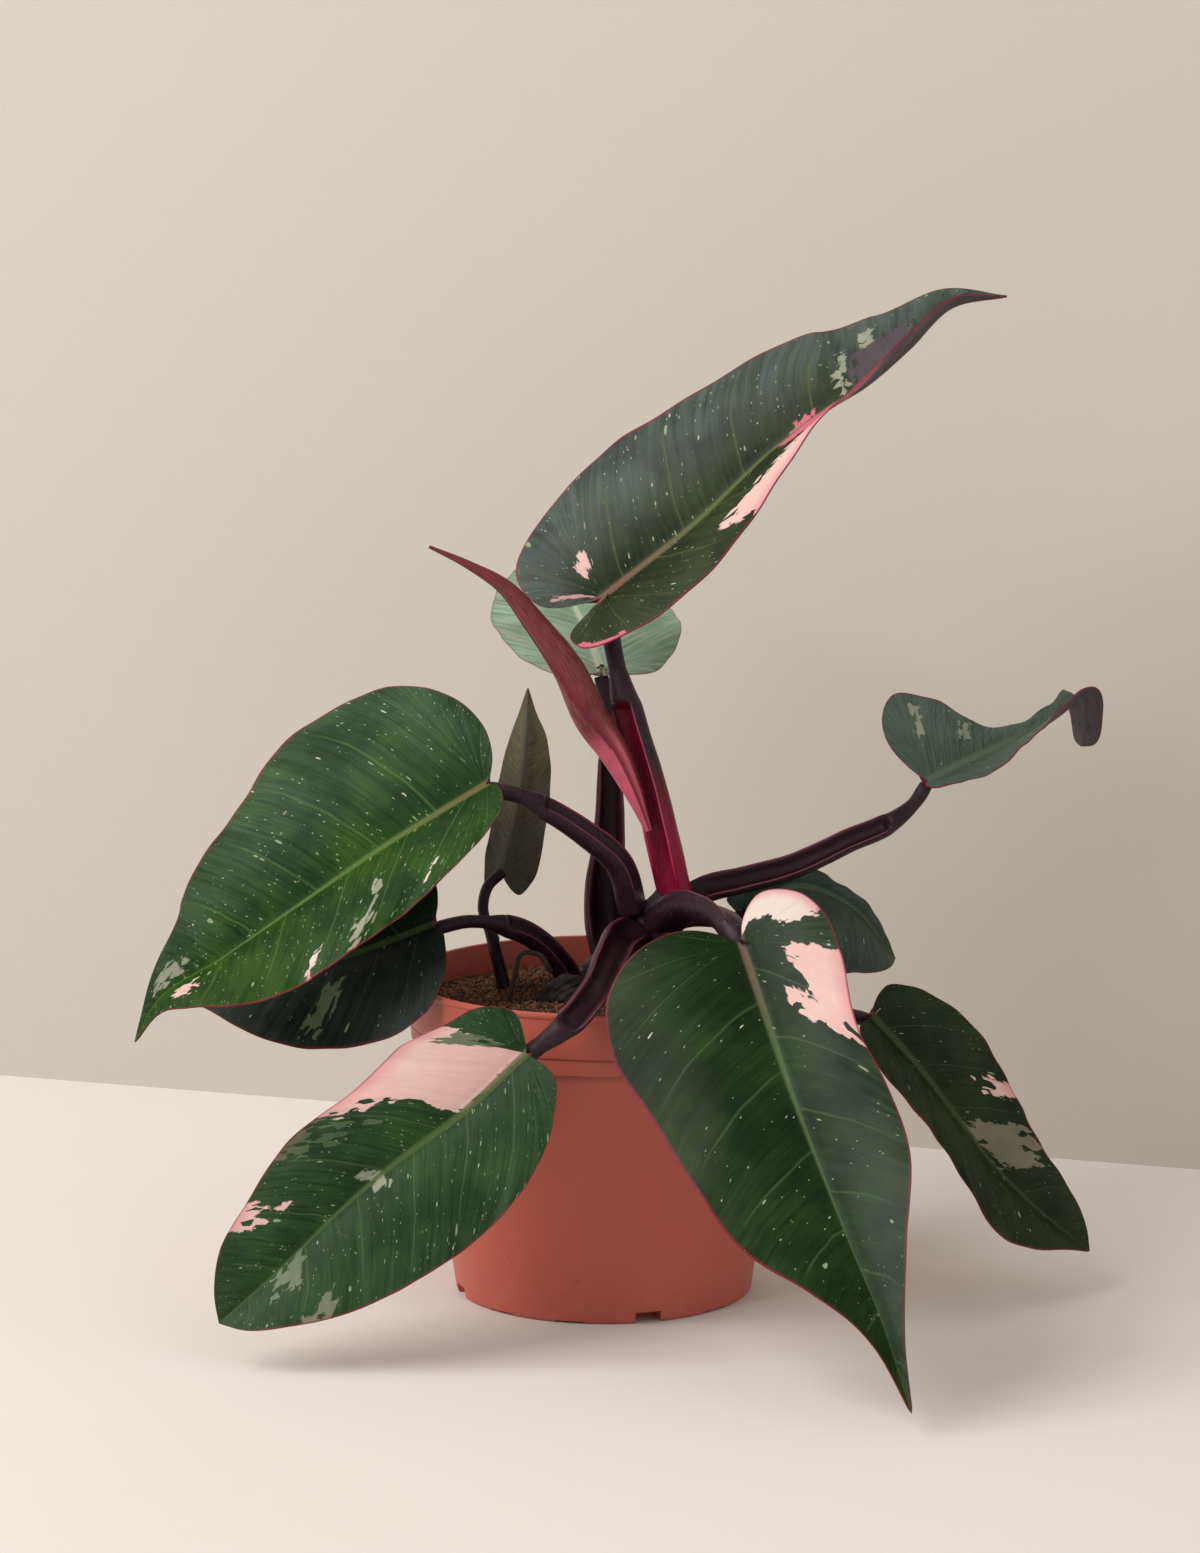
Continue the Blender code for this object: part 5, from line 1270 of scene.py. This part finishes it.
def scatter_tree(name, material):
    """Geometry Nodes tree that scatters crumbs and fibres over a surface and keeps only them."""
    tree = bpy.data.node_groups.new(name, "GeometryNodeTree")
    tree.interface.new_socket("Geometry", in_out="INPUT", socket_type="NodeSocketGeometry")
    tree.interface.new_socket("Geometry", in_out="OUTPUT", socket_type="NodeSocketGeometry")
    for label, value in (("Crumb density", CRUMB_DENSITY), ("Crumb size", CRUMB_SIZE),
                         ("Fibre density", FIBRE_DENSITY), ("Fibre length", FIBRE_LENGTH),
                         ("Fibre thickness", FIBRE_THICKNESS)):
        tree.interface.new_socket(label, in_out="INPUT", socket_type="NodeSocketFloat").default_value = value
    given = tree.nodes.new("NodeGroupInput").outputs

    def scattered(density, seed, shape, low, high):
        points = put(tree, "GeometryNodeDistributePointsOnFaces",
                     {"Mesh": given["Geometry"], "Density": density, "Seed": seed}).outputs["Points"]
        turn = put(tree, "FunctionNodeRandomValue", {0: (0.0,) * 3, 1: (FULL_TURN,) * 3, "Seed": seed + 1},
                   data_type="FLOAT_VECTOR").outputs[0]
        size = put(tree, "FunctionNodeRandomValue", {0: low, 1: high, "Seed": seed + 2},
                   data_type="FLOAT_VECTOR").outputs[0]
        held = put(tree, "GeometryNodeInstanceOnPoints",
                   {"Points": points, "Instance": shape, "Rotation": turn, "Scale": size}).outputs[0]
        tone = put(tree, "FunctionNodeRandomValue", {2: 0.0, 3: 1.0, "Seed": seed + 3},
                   data_type="FLOAT").outputs[1]
        return put(tree, "GeometryNodeStoreNamedAttribute", {"Geometry": held, "Name": "tone", "Value": tone},
                   data_type="FLOAT", domain="INSTANCE").outputs[0]

    crumb = put(tree, "GeometryNodeMeshIcoSphere", {"Radius": given["Crumb size"], "Subdivisions": 1})
    bow = put(tree, "GeometryNodeCurvePrimitiveBezierSegment",
              {"Resolution": 6, "Start": (0.0, 0.0, 0.0), "Start Handle": (0.3, 0.25, 0.05),
               "End Handle": (0.7, -0.2, 0.1), "End": (1.0, 0.05, 0.0)}).outputs[0]
    length = given["Fibre length"]
    stretch = put(tree, "ShaderNodeCombineXYZ", {0: length, 1: length, 2: length}).outputs[0]
    longer = put(tree, "GeometryNodeTransform", {"Geometry": bow, "Scale": stretch}).outputs[0]
    ring = put(tree, "GeometryNodeCurvePrimitiveCircle",
               {"Resolution": 4, "Radius": given["Fibre thickness"]})
    fibre = put(tree, "GeometryNodeCurveToMesh", {"Curve": longer, "Profile Curve": ring.outputs[0],
                                                  "Fill Caps": True}).outputs[0]
    crumbs = scattered(given["Crumb density"], 3, crumb.outputs[0], (0.35, 0.35, 0.25), (1.25, 1.1, 0.9))
    fibres = scattered(given["Fibre density"], 11, fibre, (0.3, 0.3, 0.3), (1.0, 1.0, 0.8))
    joined = tree.nodes.new("GeometryNodeJoinGeometry")
    tree.links.new(fibres, joined.inputs[0])
    tree.links.new(crumbs, joined.inputs[0])
    solid = put(tree, "GeometryNodeRealizeInstances", {"Geometry": joined.outputs[0]}).outputs[0]
    push = put(tree, "ShaderNodeTexNoise", {"Scale": 900.0, "Detail": 1.0}).outputs[1]
    push = put(tree, "ShaderNodeVectorMath", {0: push, 1: (0.5, 0.5, 0.5)}, operation="SUBTRACT").outputs[0]
    push = put(tree, "ShaderNodeVectorMath", {0: push, "Scale": CRUMB_DENTS}, operation="SCALE").outputs[0]
    moved = put(tree, "GeometryNodeSetPosition", {"Geometry": solid, "Offset": push}).outputs[0]
    dressed = put(tree, "GeometryNodeSetMaterial", {"Geometry": moved, "Material": material}).outputs[0]
    tree.links.new(dressed, tree.nodes.new("NodeGroupOutput").inputs[0])
    return tree


def set_tree_inputs(modifier, values):
    """Sets a Geometry Nodes modifier's inputs, given by name."""
    for item in modifier.node_group.interface.items_tree:
        if item.item_type == "SOCKET" and item.in_out == "INPUT" and item.name in values:
            modifier[item.identifier] = values[item.name]


def scarred(share, angle):
    """Swell of the stem: a raised ring at each node."""
    ring = np.cos(2 * math.pi * STEM_NODES * share) ** 12
    return 1.0 + STEM_NODE_RISE * ring + 0.02 * np.sin(3 * angle + 9 * share)


def knobbly(share, angle):
    """Lumps of an aerial root."""
    return 1.0 + 0.10 * np.sin(37 * share + angle) + 0.06 * np.sin(71 * share + 2 * angle)


def crumpled(share, angle):
    """Folds of the dried sheath."""
    folds = 0.10 * np.sin(5 * angle + 11 * share) * np.sin(9 * share) + 0.05 * np.sin(11 * angle - 17 * share)
    return 0.74 + 0.22 * np.cos(3 * angle + 2 * share) + folds


def past_edge(share, angle):
    """How far round from the rolled leaf's free edge an angle is, from none to a whole turn."""
    wind = np.clip((share - EDGE_WINDS_FROM) / EDGE_WINDS_OVER, 0, 1)
    edge = 1.5 * math.pi + 0.5 * math.pi * wind * wind * (3 - 2 * wind)
    return ((angle - edge) / (2 * math.pi)) % 1.0


def wound(share, angle):
    """Radius of the rolled leaf, as a share: it is slim at the foot and steps down at the free edge."""
    foot = ROLLED_FOOT + (1 - ROLLED_FOOT) * np.sin(0.5 * math.pi * np.clip(share / ROLLED_FOOT_LENGTH, 0, 1))
    return foot * (1.0 - ROLLED_EDGE * past_edge(share, angle))


# Settings


def colour_property(name, description, default):
    return bpy.props.FloatVectorProperty(name=name, description=description, default=default, size=3,
                                         min=0.0, max=1.0, subtype="COLOR")


def size_property(name, description, default, low, high):
    return bpy.props.FloatProperty(name=name, description=description, default=default,
                                   min=low, max=high, unit="LENGTH")


def matt_property(description, default):
    return bpy.props.FloatProperty(name="Roughness", description=description, default=default,
                                   min=0.1, max=0.9, subtype="FACTOR")


def number_property(name, description, default, low, high):
    return bpy.props.FloatProperty(name=name, description=description, default=default, min=low, max=high)


def count_property(name, description, default, low, high):
    return bpy.props.IntProperty(name=name, description=description, default=default, min=low, max=high)


def power_property(name, description, default):
    return bpy.props.FloatProperty(name=name, description=description, default=default,
                                   min=0.0, max=500.0, unit="POWER")


class PotSettings(bpy.types.PropertyGroup):
    colour: colour_property("Plastic", "Colour of the pot's plastic", (0.50, 0.108, 0.072))
    roughness: matt_property("How matt the plastic is", 0.42)


class SoilSettings(bpy.types.PropertyGroup):
    light: colour_property("Light crumb", "Colour of the palest crumbs and fibres", (0.31, 0.120, 0.045))
    dark: colour_property("Dark crumb", "Colour of the darkest crumbs", (0.035, 0.013, 0.006))
    crumb_size: size_property("Crumb size", "Radius of the largest crumbs", CRUMB_SIZE, 0.0003, 0.004)
    crumb_density: number_property("Crumb density", "Crumbs on each square metre", CRUMB_DENSITY, 1e4, 8e5)
    fibre_density: number_property("Fibre density", "Fibres on each square metre", FIBRE_DENSITY, 0.0, 2e5)
    fibre_length: size_property("Fibre length", "Length of the longest fibres", FIBRE_LENGTH, 0.001, 0.03)


class LeafSettings(bpy.types.PropertyGroup):
    thickness: size_property("Blade thickness", "Thickness of a blade by its veins", 0.00055, 0.0003, 0.0015)
    vein_relief: size_property("Vein relief", "How far a blade dips along its side veins", 0.0002, 0.0, 0.002)
    main_veins: count_property("Side veins", "Side veins on each half of a blade", 9, 3, 20)
    fine_lines: count_property("Fine lines", "Fine lines on each half of a blade", 170, 20, 400)
    roughness: matt_property("How matt the upper side is", 0.36)
    margin_colour: colour_property("Margin", "Colour of the blade's thin edge", CRIMSON)


class StalkSettings(bpy.types.PropertyGroup):
    purple: colour_property("Skin", "Colour of the petioles' skin", (0.020, 0.0075, 0.0125))
    channel: colour_property("Channel", "Colour inside the open sheaths", (0.026, 0.0045, 0.009))
    crimson: colour_property("Newest petiole", "Its colour low down and inside", (0.260, 0.0035, 0.034))
    wing_edge: colour_property("Sheath edge", "Colour of the sheaths' thin edge", (0.26, 0.055, 0.085))
    rose: colour_property("Rolled leaf", "Colour of the rolled new leaf", (0.21, 0.038, 0.038))
    brown_red: colour_property("Rolled leaf lines", "Colour of its darker lines", (0.100, 0.014, 0.017))
    bright_pink: colour_property("Bright pink", "Colour of the rolled leaf's foot and newest sheath's edge",
                                 (0.74, 0.13, 0.20))
    # Colour of the painted shadow that the rolled leaf's free edge casts on the sheet beneath it.
    edge_shadow_colour: colour_property("Rolled leaf edge", "Colour of its free edge", (0.13, 0.006, 0.018))


class StageSettings(bpy.types.PropertyGroup):
    floor_colour: colour_property("Floor", "Colour of the floor", (0.80, 0.745, 0.70))
    wall_colour: colour_property("Wall", "Colour of the wall behind", (0.56, 0.52, 0.455))
    key_power: power_property("Key light", "Power of the large soft light", 60.0)
    fill_power: power_property("Fill light", "Power of the fill light", 6.0)
    sky_strength: number_property("Room light", "Strength of the even light", 0.46, 0.0, 5.0)


# Operators


class PLANT_OT_stage(bpy.types.Operator):
    """Builds the floor, the wall, the soft lights and the camera"""

    bl_idname = "plant.stage"
    bl_label = "Stage and camera"

    def execute(self, context):
        settings = context.scene.plant_stage
        scene = context.scene
        scene.view_settings.view_transform = "Standard"
        camera_data = bpy.data.cameras.new("camera")
        camera_data.sensor_fit = "AUTO"
        camera_data.sensor_width = FILM_HEIGHT
        camera_data.lens = FOCAL_PIXELS * FILM_HEIGHT / IMAGE_HEIGHT
        camera = helper("camera", camera_data)
        camera.location = CAMERA_PLACE
        camera.rotation_euler = (math.radians(90 - CAMERA_DOWN), 0.0, 0.0)
        scene.camera = camera

        left, right = (Vector((x, y, 0.0)) * MM for x, y in WALL_FOOT)
        way = (right - left).normalized()
        left, right = left - way * WALL_REACH, right + way * WALL_REACH
        outwards = Vector((way.y, -way.x, 0.0))
        front = outwards * FLOOR_IN_FRONT
        back = outwards * -FLOOR_BEHIND
        floor = bpy.data.meshes.new("floor")
        floor.from_pydata([left + back, right + back, right + front, left + front], [], [(0, 3, 2, 1)])
        wall = bpy.data.meshes.new("wall")
        rise = Vector((0.0, 0.0, WALL_HEIGHT))
        wall.from_pydata([left, right, right + rise, left + rise], [], [(0, 1, 2, 3)])
        for mesh, colour, one_sided in ((floor, settings.floor_colour, False),
                                        (wall, settings.wall_colour, True)):
            mesh.materials.append(stage_material(mesh.name + " paint", tuple(colour), one_sided))
            helper(mesh.name, mesh)

        for name, sizes, power in (("key light", KEY_LIGHT, settings.key_power),
                                   ("fill light", FILL_LIGHT, settings.fill_power)):
            light = bpy.data.lights.new(name, "AREA")
            light.energy = power
            light.size = sizes["size"]
            light.color = sizes["colour"]
            lamp = helper(name, light)
            lamp.location = sizes["place"]
            aim = Vector(LIGHTS_AIM) - Vector(sizes["place"])
            lamp.rotation_euler = aim.to_track_quat("-Z", "Y").to_euler()
        world = bpy.data.worlds.new("room light")
        world.use_nodes = True
        background = world.node_tree.nodes["Background"]
        background.inputs[0].default_value = ROOM_LIGHT
        background.inputs[1].default_value = settings.sky_strength
        scene.world = world
        return {"FINISHED"}


class PLANT_OT_pot(bpy.types.Operator):
    """Builds the nursery pot with its rim band, foot ring and drainage slots"""

    bl_idname = "plant.pot"
    bl_label = "Pot"

    def execute(self, context):
        body = helper("pot_blank", turned_mesh("pot_blank", pot_profile(), POT_SEGMENTS))
        cutters = [slot_cutter(k) for k in range(FOOT_SLOTS)]
        for cutter in cutters:
            cut = body.modifiers.new(cutter.name, "BOOLEAN")
            cut.operation = "DIFFERENCE"
            cut.solver = "EXACT"
            cut.object = cutter
        mesh = settled_mesh(body)
        for obj in (body, *cutters):
            bpy.data.objects.remove(obj)
        mesh.shade_smooth()
        mesh.set_sharp_from_angle(angle=math.radians(POT_SHARP_ANGLE))
        mesh.materials.clear()
        place_piece("nursery_pot", mesh, [pot_material(context.scene.plant_pot)], ["pot"])
        return {"FINISHED"}


class PLANT_OT_soil(bpy.types.Operator):
    """Builds the soil's mound and scatters crumbs and coir fibres over it"""

    bl_idname = "plant.soil"
    bl_label = "Soil"

    def execute(self, context):
        settings = context.scene.plant_soil
        radius = RIM_RADIUS - RIM_LIP - SOIL_GAP
        neck = POT_HEIGHT - RIM_BAND
        floor = UNDER_RECESS + POT_FLOOR + SOIL_GAP
        steps = np.linspace(0.0, 1.0, SOIL_RINGS + 1)
        profile = [(radius * s, SOIL_EDGE_HEIGHT) for s in steps]
        profile += [(radius, neck + 2.0 + SOIL_GAP), (BODY_TOP_RADIUS - POT_WALL - SOIL_GAP, neck + SOIL_GAP),
                    (wall_radius(floor) - POT_WALL - 2 * SOIL_GAP, floor), (0.0, floor)]
        mesh = turned_mesh("soil_body", profile, SOIL_SEGMENTS)
        points = np.empty(len(mesh.vertices) * 3)
        mesh.vertices.foreach_get("co", points)
        points = points.reshape(-1, 3) / MM
        top = points[:, 2] > SOIL_EDGE_HEIGHT - 0.5
        x, y = points[:, 0], points[:, 1]
        crumble = np.sin(1.9 * x + 2.0 * np.sin(0.8 * y)) * np.sin(1.7 * y + 1.5 * np.sin(0.9 * x))
        height = soil_height(x, y, radius) + SOIL_CRUMBLE * crumble * (np.hypot(x, y) < radius - 1.0)
        points[:, 2] = np.where(top, height, points[:, 2])
        mesh.vertices.foreach_set("co", (points * MM).ravel())
        mesh.update()
        surface = mesh.copy()
        mesh.shade_smooth()
        body = soil_material("packed soil", settings)
        place_piece("soil_body", mesh, [body], ["soil"])

        work = bmesh.new()
        work.from_mesh(surface)
        limit = (SOIL_EDGE_HEIGHT - 2.0) * MM
        rim = (radius - CRUMB_FREE_EDGE) * MM
        middles = [(face, face.calc_center_median()) for face in work.faces]
        bare = [face for face, middle in middles if middle.z < limit or middle.xy.length > rim]
        bmesh.ops.delete(work, geom=bare, context="FACES")
        work.to_mesh(surface)
        work.free()
        crumbs = soil_material("loose crumb and fibre", settings)
        bed = helper("crumb_bed", surface)
        scatter = bed.modifiers.new("scatter", "NODES")
        scatter.node_group = scatter_tree("soil crumbs", crumbs)
        set_tree_inputs(scatter, {"Crumb density": settings.crumb_density,
                                  "Crumb size": settings.crumb_size,
                                  "Fibre density": settings.fibre_density,
                                  "Fibre length": settings.fibre_length})
        loose = settled_mesh(bed)
        bpy.data.objects.remove(bed)
        loose.materials.clear()
        place_piece("soil_crumbs", loose, [crumbs], ())
        return {"FINISHED"}


class PLANT_OT_stem(bpy.types.Operator):
    """Builds the stem with its leaf scars, the two aerial roots and the dried sheath"""

    bl_idname = "plant.stem"
    bl_label = "Stem and roots"

    def execute(self, _context):
        bark = bark_material("stem skin", *STEM_SKIN, 0.45)
        rings = round_rings(STEM, STEM_RADII, STEM_SIDES, STEM_RINGS, scarred)
        place_piece("main_stem", skin("main_stem", rings, uv_scale=(5.2, 0.1)), [bark], ["stem"])

        rooty = bark_material("root skin", *ROOT_SKIN, 0.7)
        for node, sizes in ROOTS.items():
            name = "aerial_" + node
            radius = sizes["radius"]
            radii = (radius, 0.95 * radius, 0.75 * radius)
            rings = rounded_end(round_rings(sizes["line"], radii, ROOT_SIDES, ROOT_RINGS, knobbly), 0)
            place_piece(name, skin(name, rings, uv_scale=(0.6, 0.1)), [rooty], [node])

        papery = bark_material("dried sheath", *DRY_SKIN, 0.6)
        rings = round_rings(DRY_SHEATH, DRY_SHEATH_RADII, DRY_SHEATH_SIDES, DRY_SHEATH_RINGS, crumpled)
        rings = rounded_end(rounded_end(rings, 0), -1)
        mesh = skin("dried_sheath", rings, uv_scale=(2.6, 0.1))
        place_piece("dried_sheath", mesh, [papery], ["dry_sheath"])
        return {"FINISHED"}


class PLANT_OT_petioles(bpy.types.Operator):
    """Builds the ten petioles with their open, pink-edged sheaths"""

    bl_idname = "plant.petioles"
    bl_label = "Petioles"

    def execute(self, context):
        settings = context.scene.plant_stalk
        purple = petiole_material("petiole purple", False, settings)
        crimson = petiole_material("petiole crimson", True, settings)
        for key, leaf in LEAVES.items():
            rings, channel, edge = petiole_rings(leaf)
            mesh = skin("stalk_" + key, rings, {"channel": channel, "edge": edge}, (3.0, 0.1))
            warm = key == "newest"
            place_piece("stalk_" + key, mesh, [crimson if warm else purple], ["petiole_" + key])
        return {"FINISHED"}


class PLANT_OT_blades(bpy.types.Operator):
    """Builds the ten variegated leaf blades"""

    bl_idname = "plant.blades"
    bl_label = "Leaf blades"

    def execute(self, context):
        settings = context.scene.plant_leaf
        shares = np.linspace(0.0, 1.0, BLADE_ROWS + 1)
        columns = np.linspace(0.0, 1.0, BLADE_COLUMNS + 1) ** COLUMN_CROWDING
        for key, leaf in LEAVES.items():
            grids, veins, flats, weights = [], [], [], []
            for side in ("left", "right"):
                points, flat = blade_half(leaf, side, shares, columns, settings.main_veins,
                                          settings.vein_relief / MM)
                row, out = np.meshgrid(shares, columns, indexing="ij")
                shift = RIGHT_HALF_SHIFT if side == "right" else 0.0
                grids.append((points, side == "right"))
                veins.append(np.stack([row + shift, out], -1))
                flats.append(flat / FLAT_MAP_SCALE)
                size = np.clip(1 - flat[..., 0] / flat[..., 0].max(), 0.1, 1)
                weights.append(size * bell(flat[..., 1], MIDRIB_SPREAD))
            mesh = sheet_mesh("leaf_" + key, grids, {"vein": veins, "flat": flats}, weights)
            mesh.materials.append(blade_material(key, False, settings))
            mesh.materials.append(blade_material(key, True, settings))
            sheet = helper("leaf_sheet_" + key, mesh)
            group = sheet.vertex_groups.new(name="midrib")
            for index, item in enumerate(mesh.attributes["rib"].data):
                group.add([index], item.value, "REPLACE")
            solid = sheet.modifiers.new("thickness", "SOLIDIFY")
            solid.thickness = MIDRIB_THICKNESS * MM
            solid.offset = -1.0
            solid.vertex_group = group.name
            solid.thickness_vertex_group = settings.thickness / (MIDRIB_THICKNESS * MM)
            solid.material_offset = 1
            solid.material_offset_rim = 0
            finished = settled_mesh(sheet)
            bpy.data.objects.remove(sheet)
            finished.attributes.remove(finished.attributes["rib"])
            finished.shade_smooth()
            finished.set_sharp_from_angle(angle=math.radians(BLADE_SHARP_ANGLE))
            node = "blade_" + key
            place_piece("leaf_" + key, finished, [], [node])
        return {"FINISHED"}


class PLANT_OT_rolled_leaf(bpy.types.Operator):
    """Builds the rolled new leaf with its free edge wound round it"""

    bl_idname = "plant.rolled_leaf"
    bl_label = "Rolled new leaf"

    def execute(self, context):
        rings = round_rings(ROLLED_LEAF, ROLLED_RADII, ROLLED_SIDES, ROLLED_STATIONS, wound)
        turn = 2 * math.pi * np.arange(ROLLED_SIDES) / ROLLED_SIDES
        shares = np.linspace(0, 1, ROLLED_STATIONS)
        # The last eighth of a turn before the free edge, where the edge's shadow is painted.
        shadow = np.clip(past_edge(shares[:, None], turn[None, :]) * 8 - 7, 0, 1)
        mesh = skin("rolled_new_leaf", rings, {"under_edge": shadow}, (1.0, 0.1))
        mesh.set_sharp_from_angle(angle=math.radians(ROLLED_SHARP_ANGLE))
        place_piece("rolled_new_leaf", mesh, [rolled_material(context.scene.plant_stalk)], ["rolled_leaf"])
        return {"FINISHED"}


class PLANT_PT_panel(bpy.types.Panel):
    """Lists the plant's pieces and their settings"""

    bl_idname = "PLANT_PT_panel"
    bl_label = "Philodendron"
    bl_space_type = "VIEW_3D"
    bl_region_type = "UI"
    bl_category = "Plant"

    def draw(self, context):
        for settings, label in (("plant_stage", "Stage"), ("plant_pot", "Pot"), ("plant_soil", "Soil"),
                                ("plant_leaf", "Leaves"), ("plant_stalk", "Stalks")):
            box = self.layout.box()
            box.label(text=label)
            group = getattr(context.scene, settings)
            for name in group.bl_rna.properties.keys():
                if name not in ("rna_type", "name"):
                    box.prop(group, name)
        for operator in OPERATORS:
            self.layout.operator(operator.bl_idname)


SETTINGS = {"plant_pot": PotSettings, "plant_soil": SoilSettings, "plant_leaf": LeafSettings,
            "plant_stalk": StalkSettings, "plant_stage": StageSettings}
OPERATORS = (PLANT_OT_stage, PLANT_OT_pot, PLANT_OT_soil, PLANT_OT_stem, PLANT_OT_petioles, PLANT_OT_blades,
             PLANT_OT_rolled_leaf)


def register():
    for group in SETTINGS.values():
        bpy.utils.register_class(group)
    for operator in OPERATORS:
        bpy.utils.register_class(operator)
    bpy.utils.register_class(PLANT_PT_panel)
    for name, group in SETTINGS.items():
        setattr(bpy.types.Scene, name, bpy.props.PointerProperty(type=group))


def unregister():
    for name in SETTINGS:
        delattr(bpy.types.Scene, name)
    bpy.utils.unregister_class(PLANT_PT_panel)
    for operator in reversed(OPERATORS):
        bpy.utils.unregister_class(operator)
    for group in reversed(SETTINGS.values()):
        bpy.utils.unregister_class(group)


def main():
    register()
    build_groups()
    bpy.ops.plant.stage()
    bpy.ops.plant.pot()
    bpy.ops.plant.soil()
    bpy.ops.plant.stem()
    bpy.ops.plant.petioles()
    bpy.ops.plant.blades()
    bpy.ops.plant.rolled_leaf()
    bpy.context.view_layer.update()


if __name__ == "__main__":
    main()
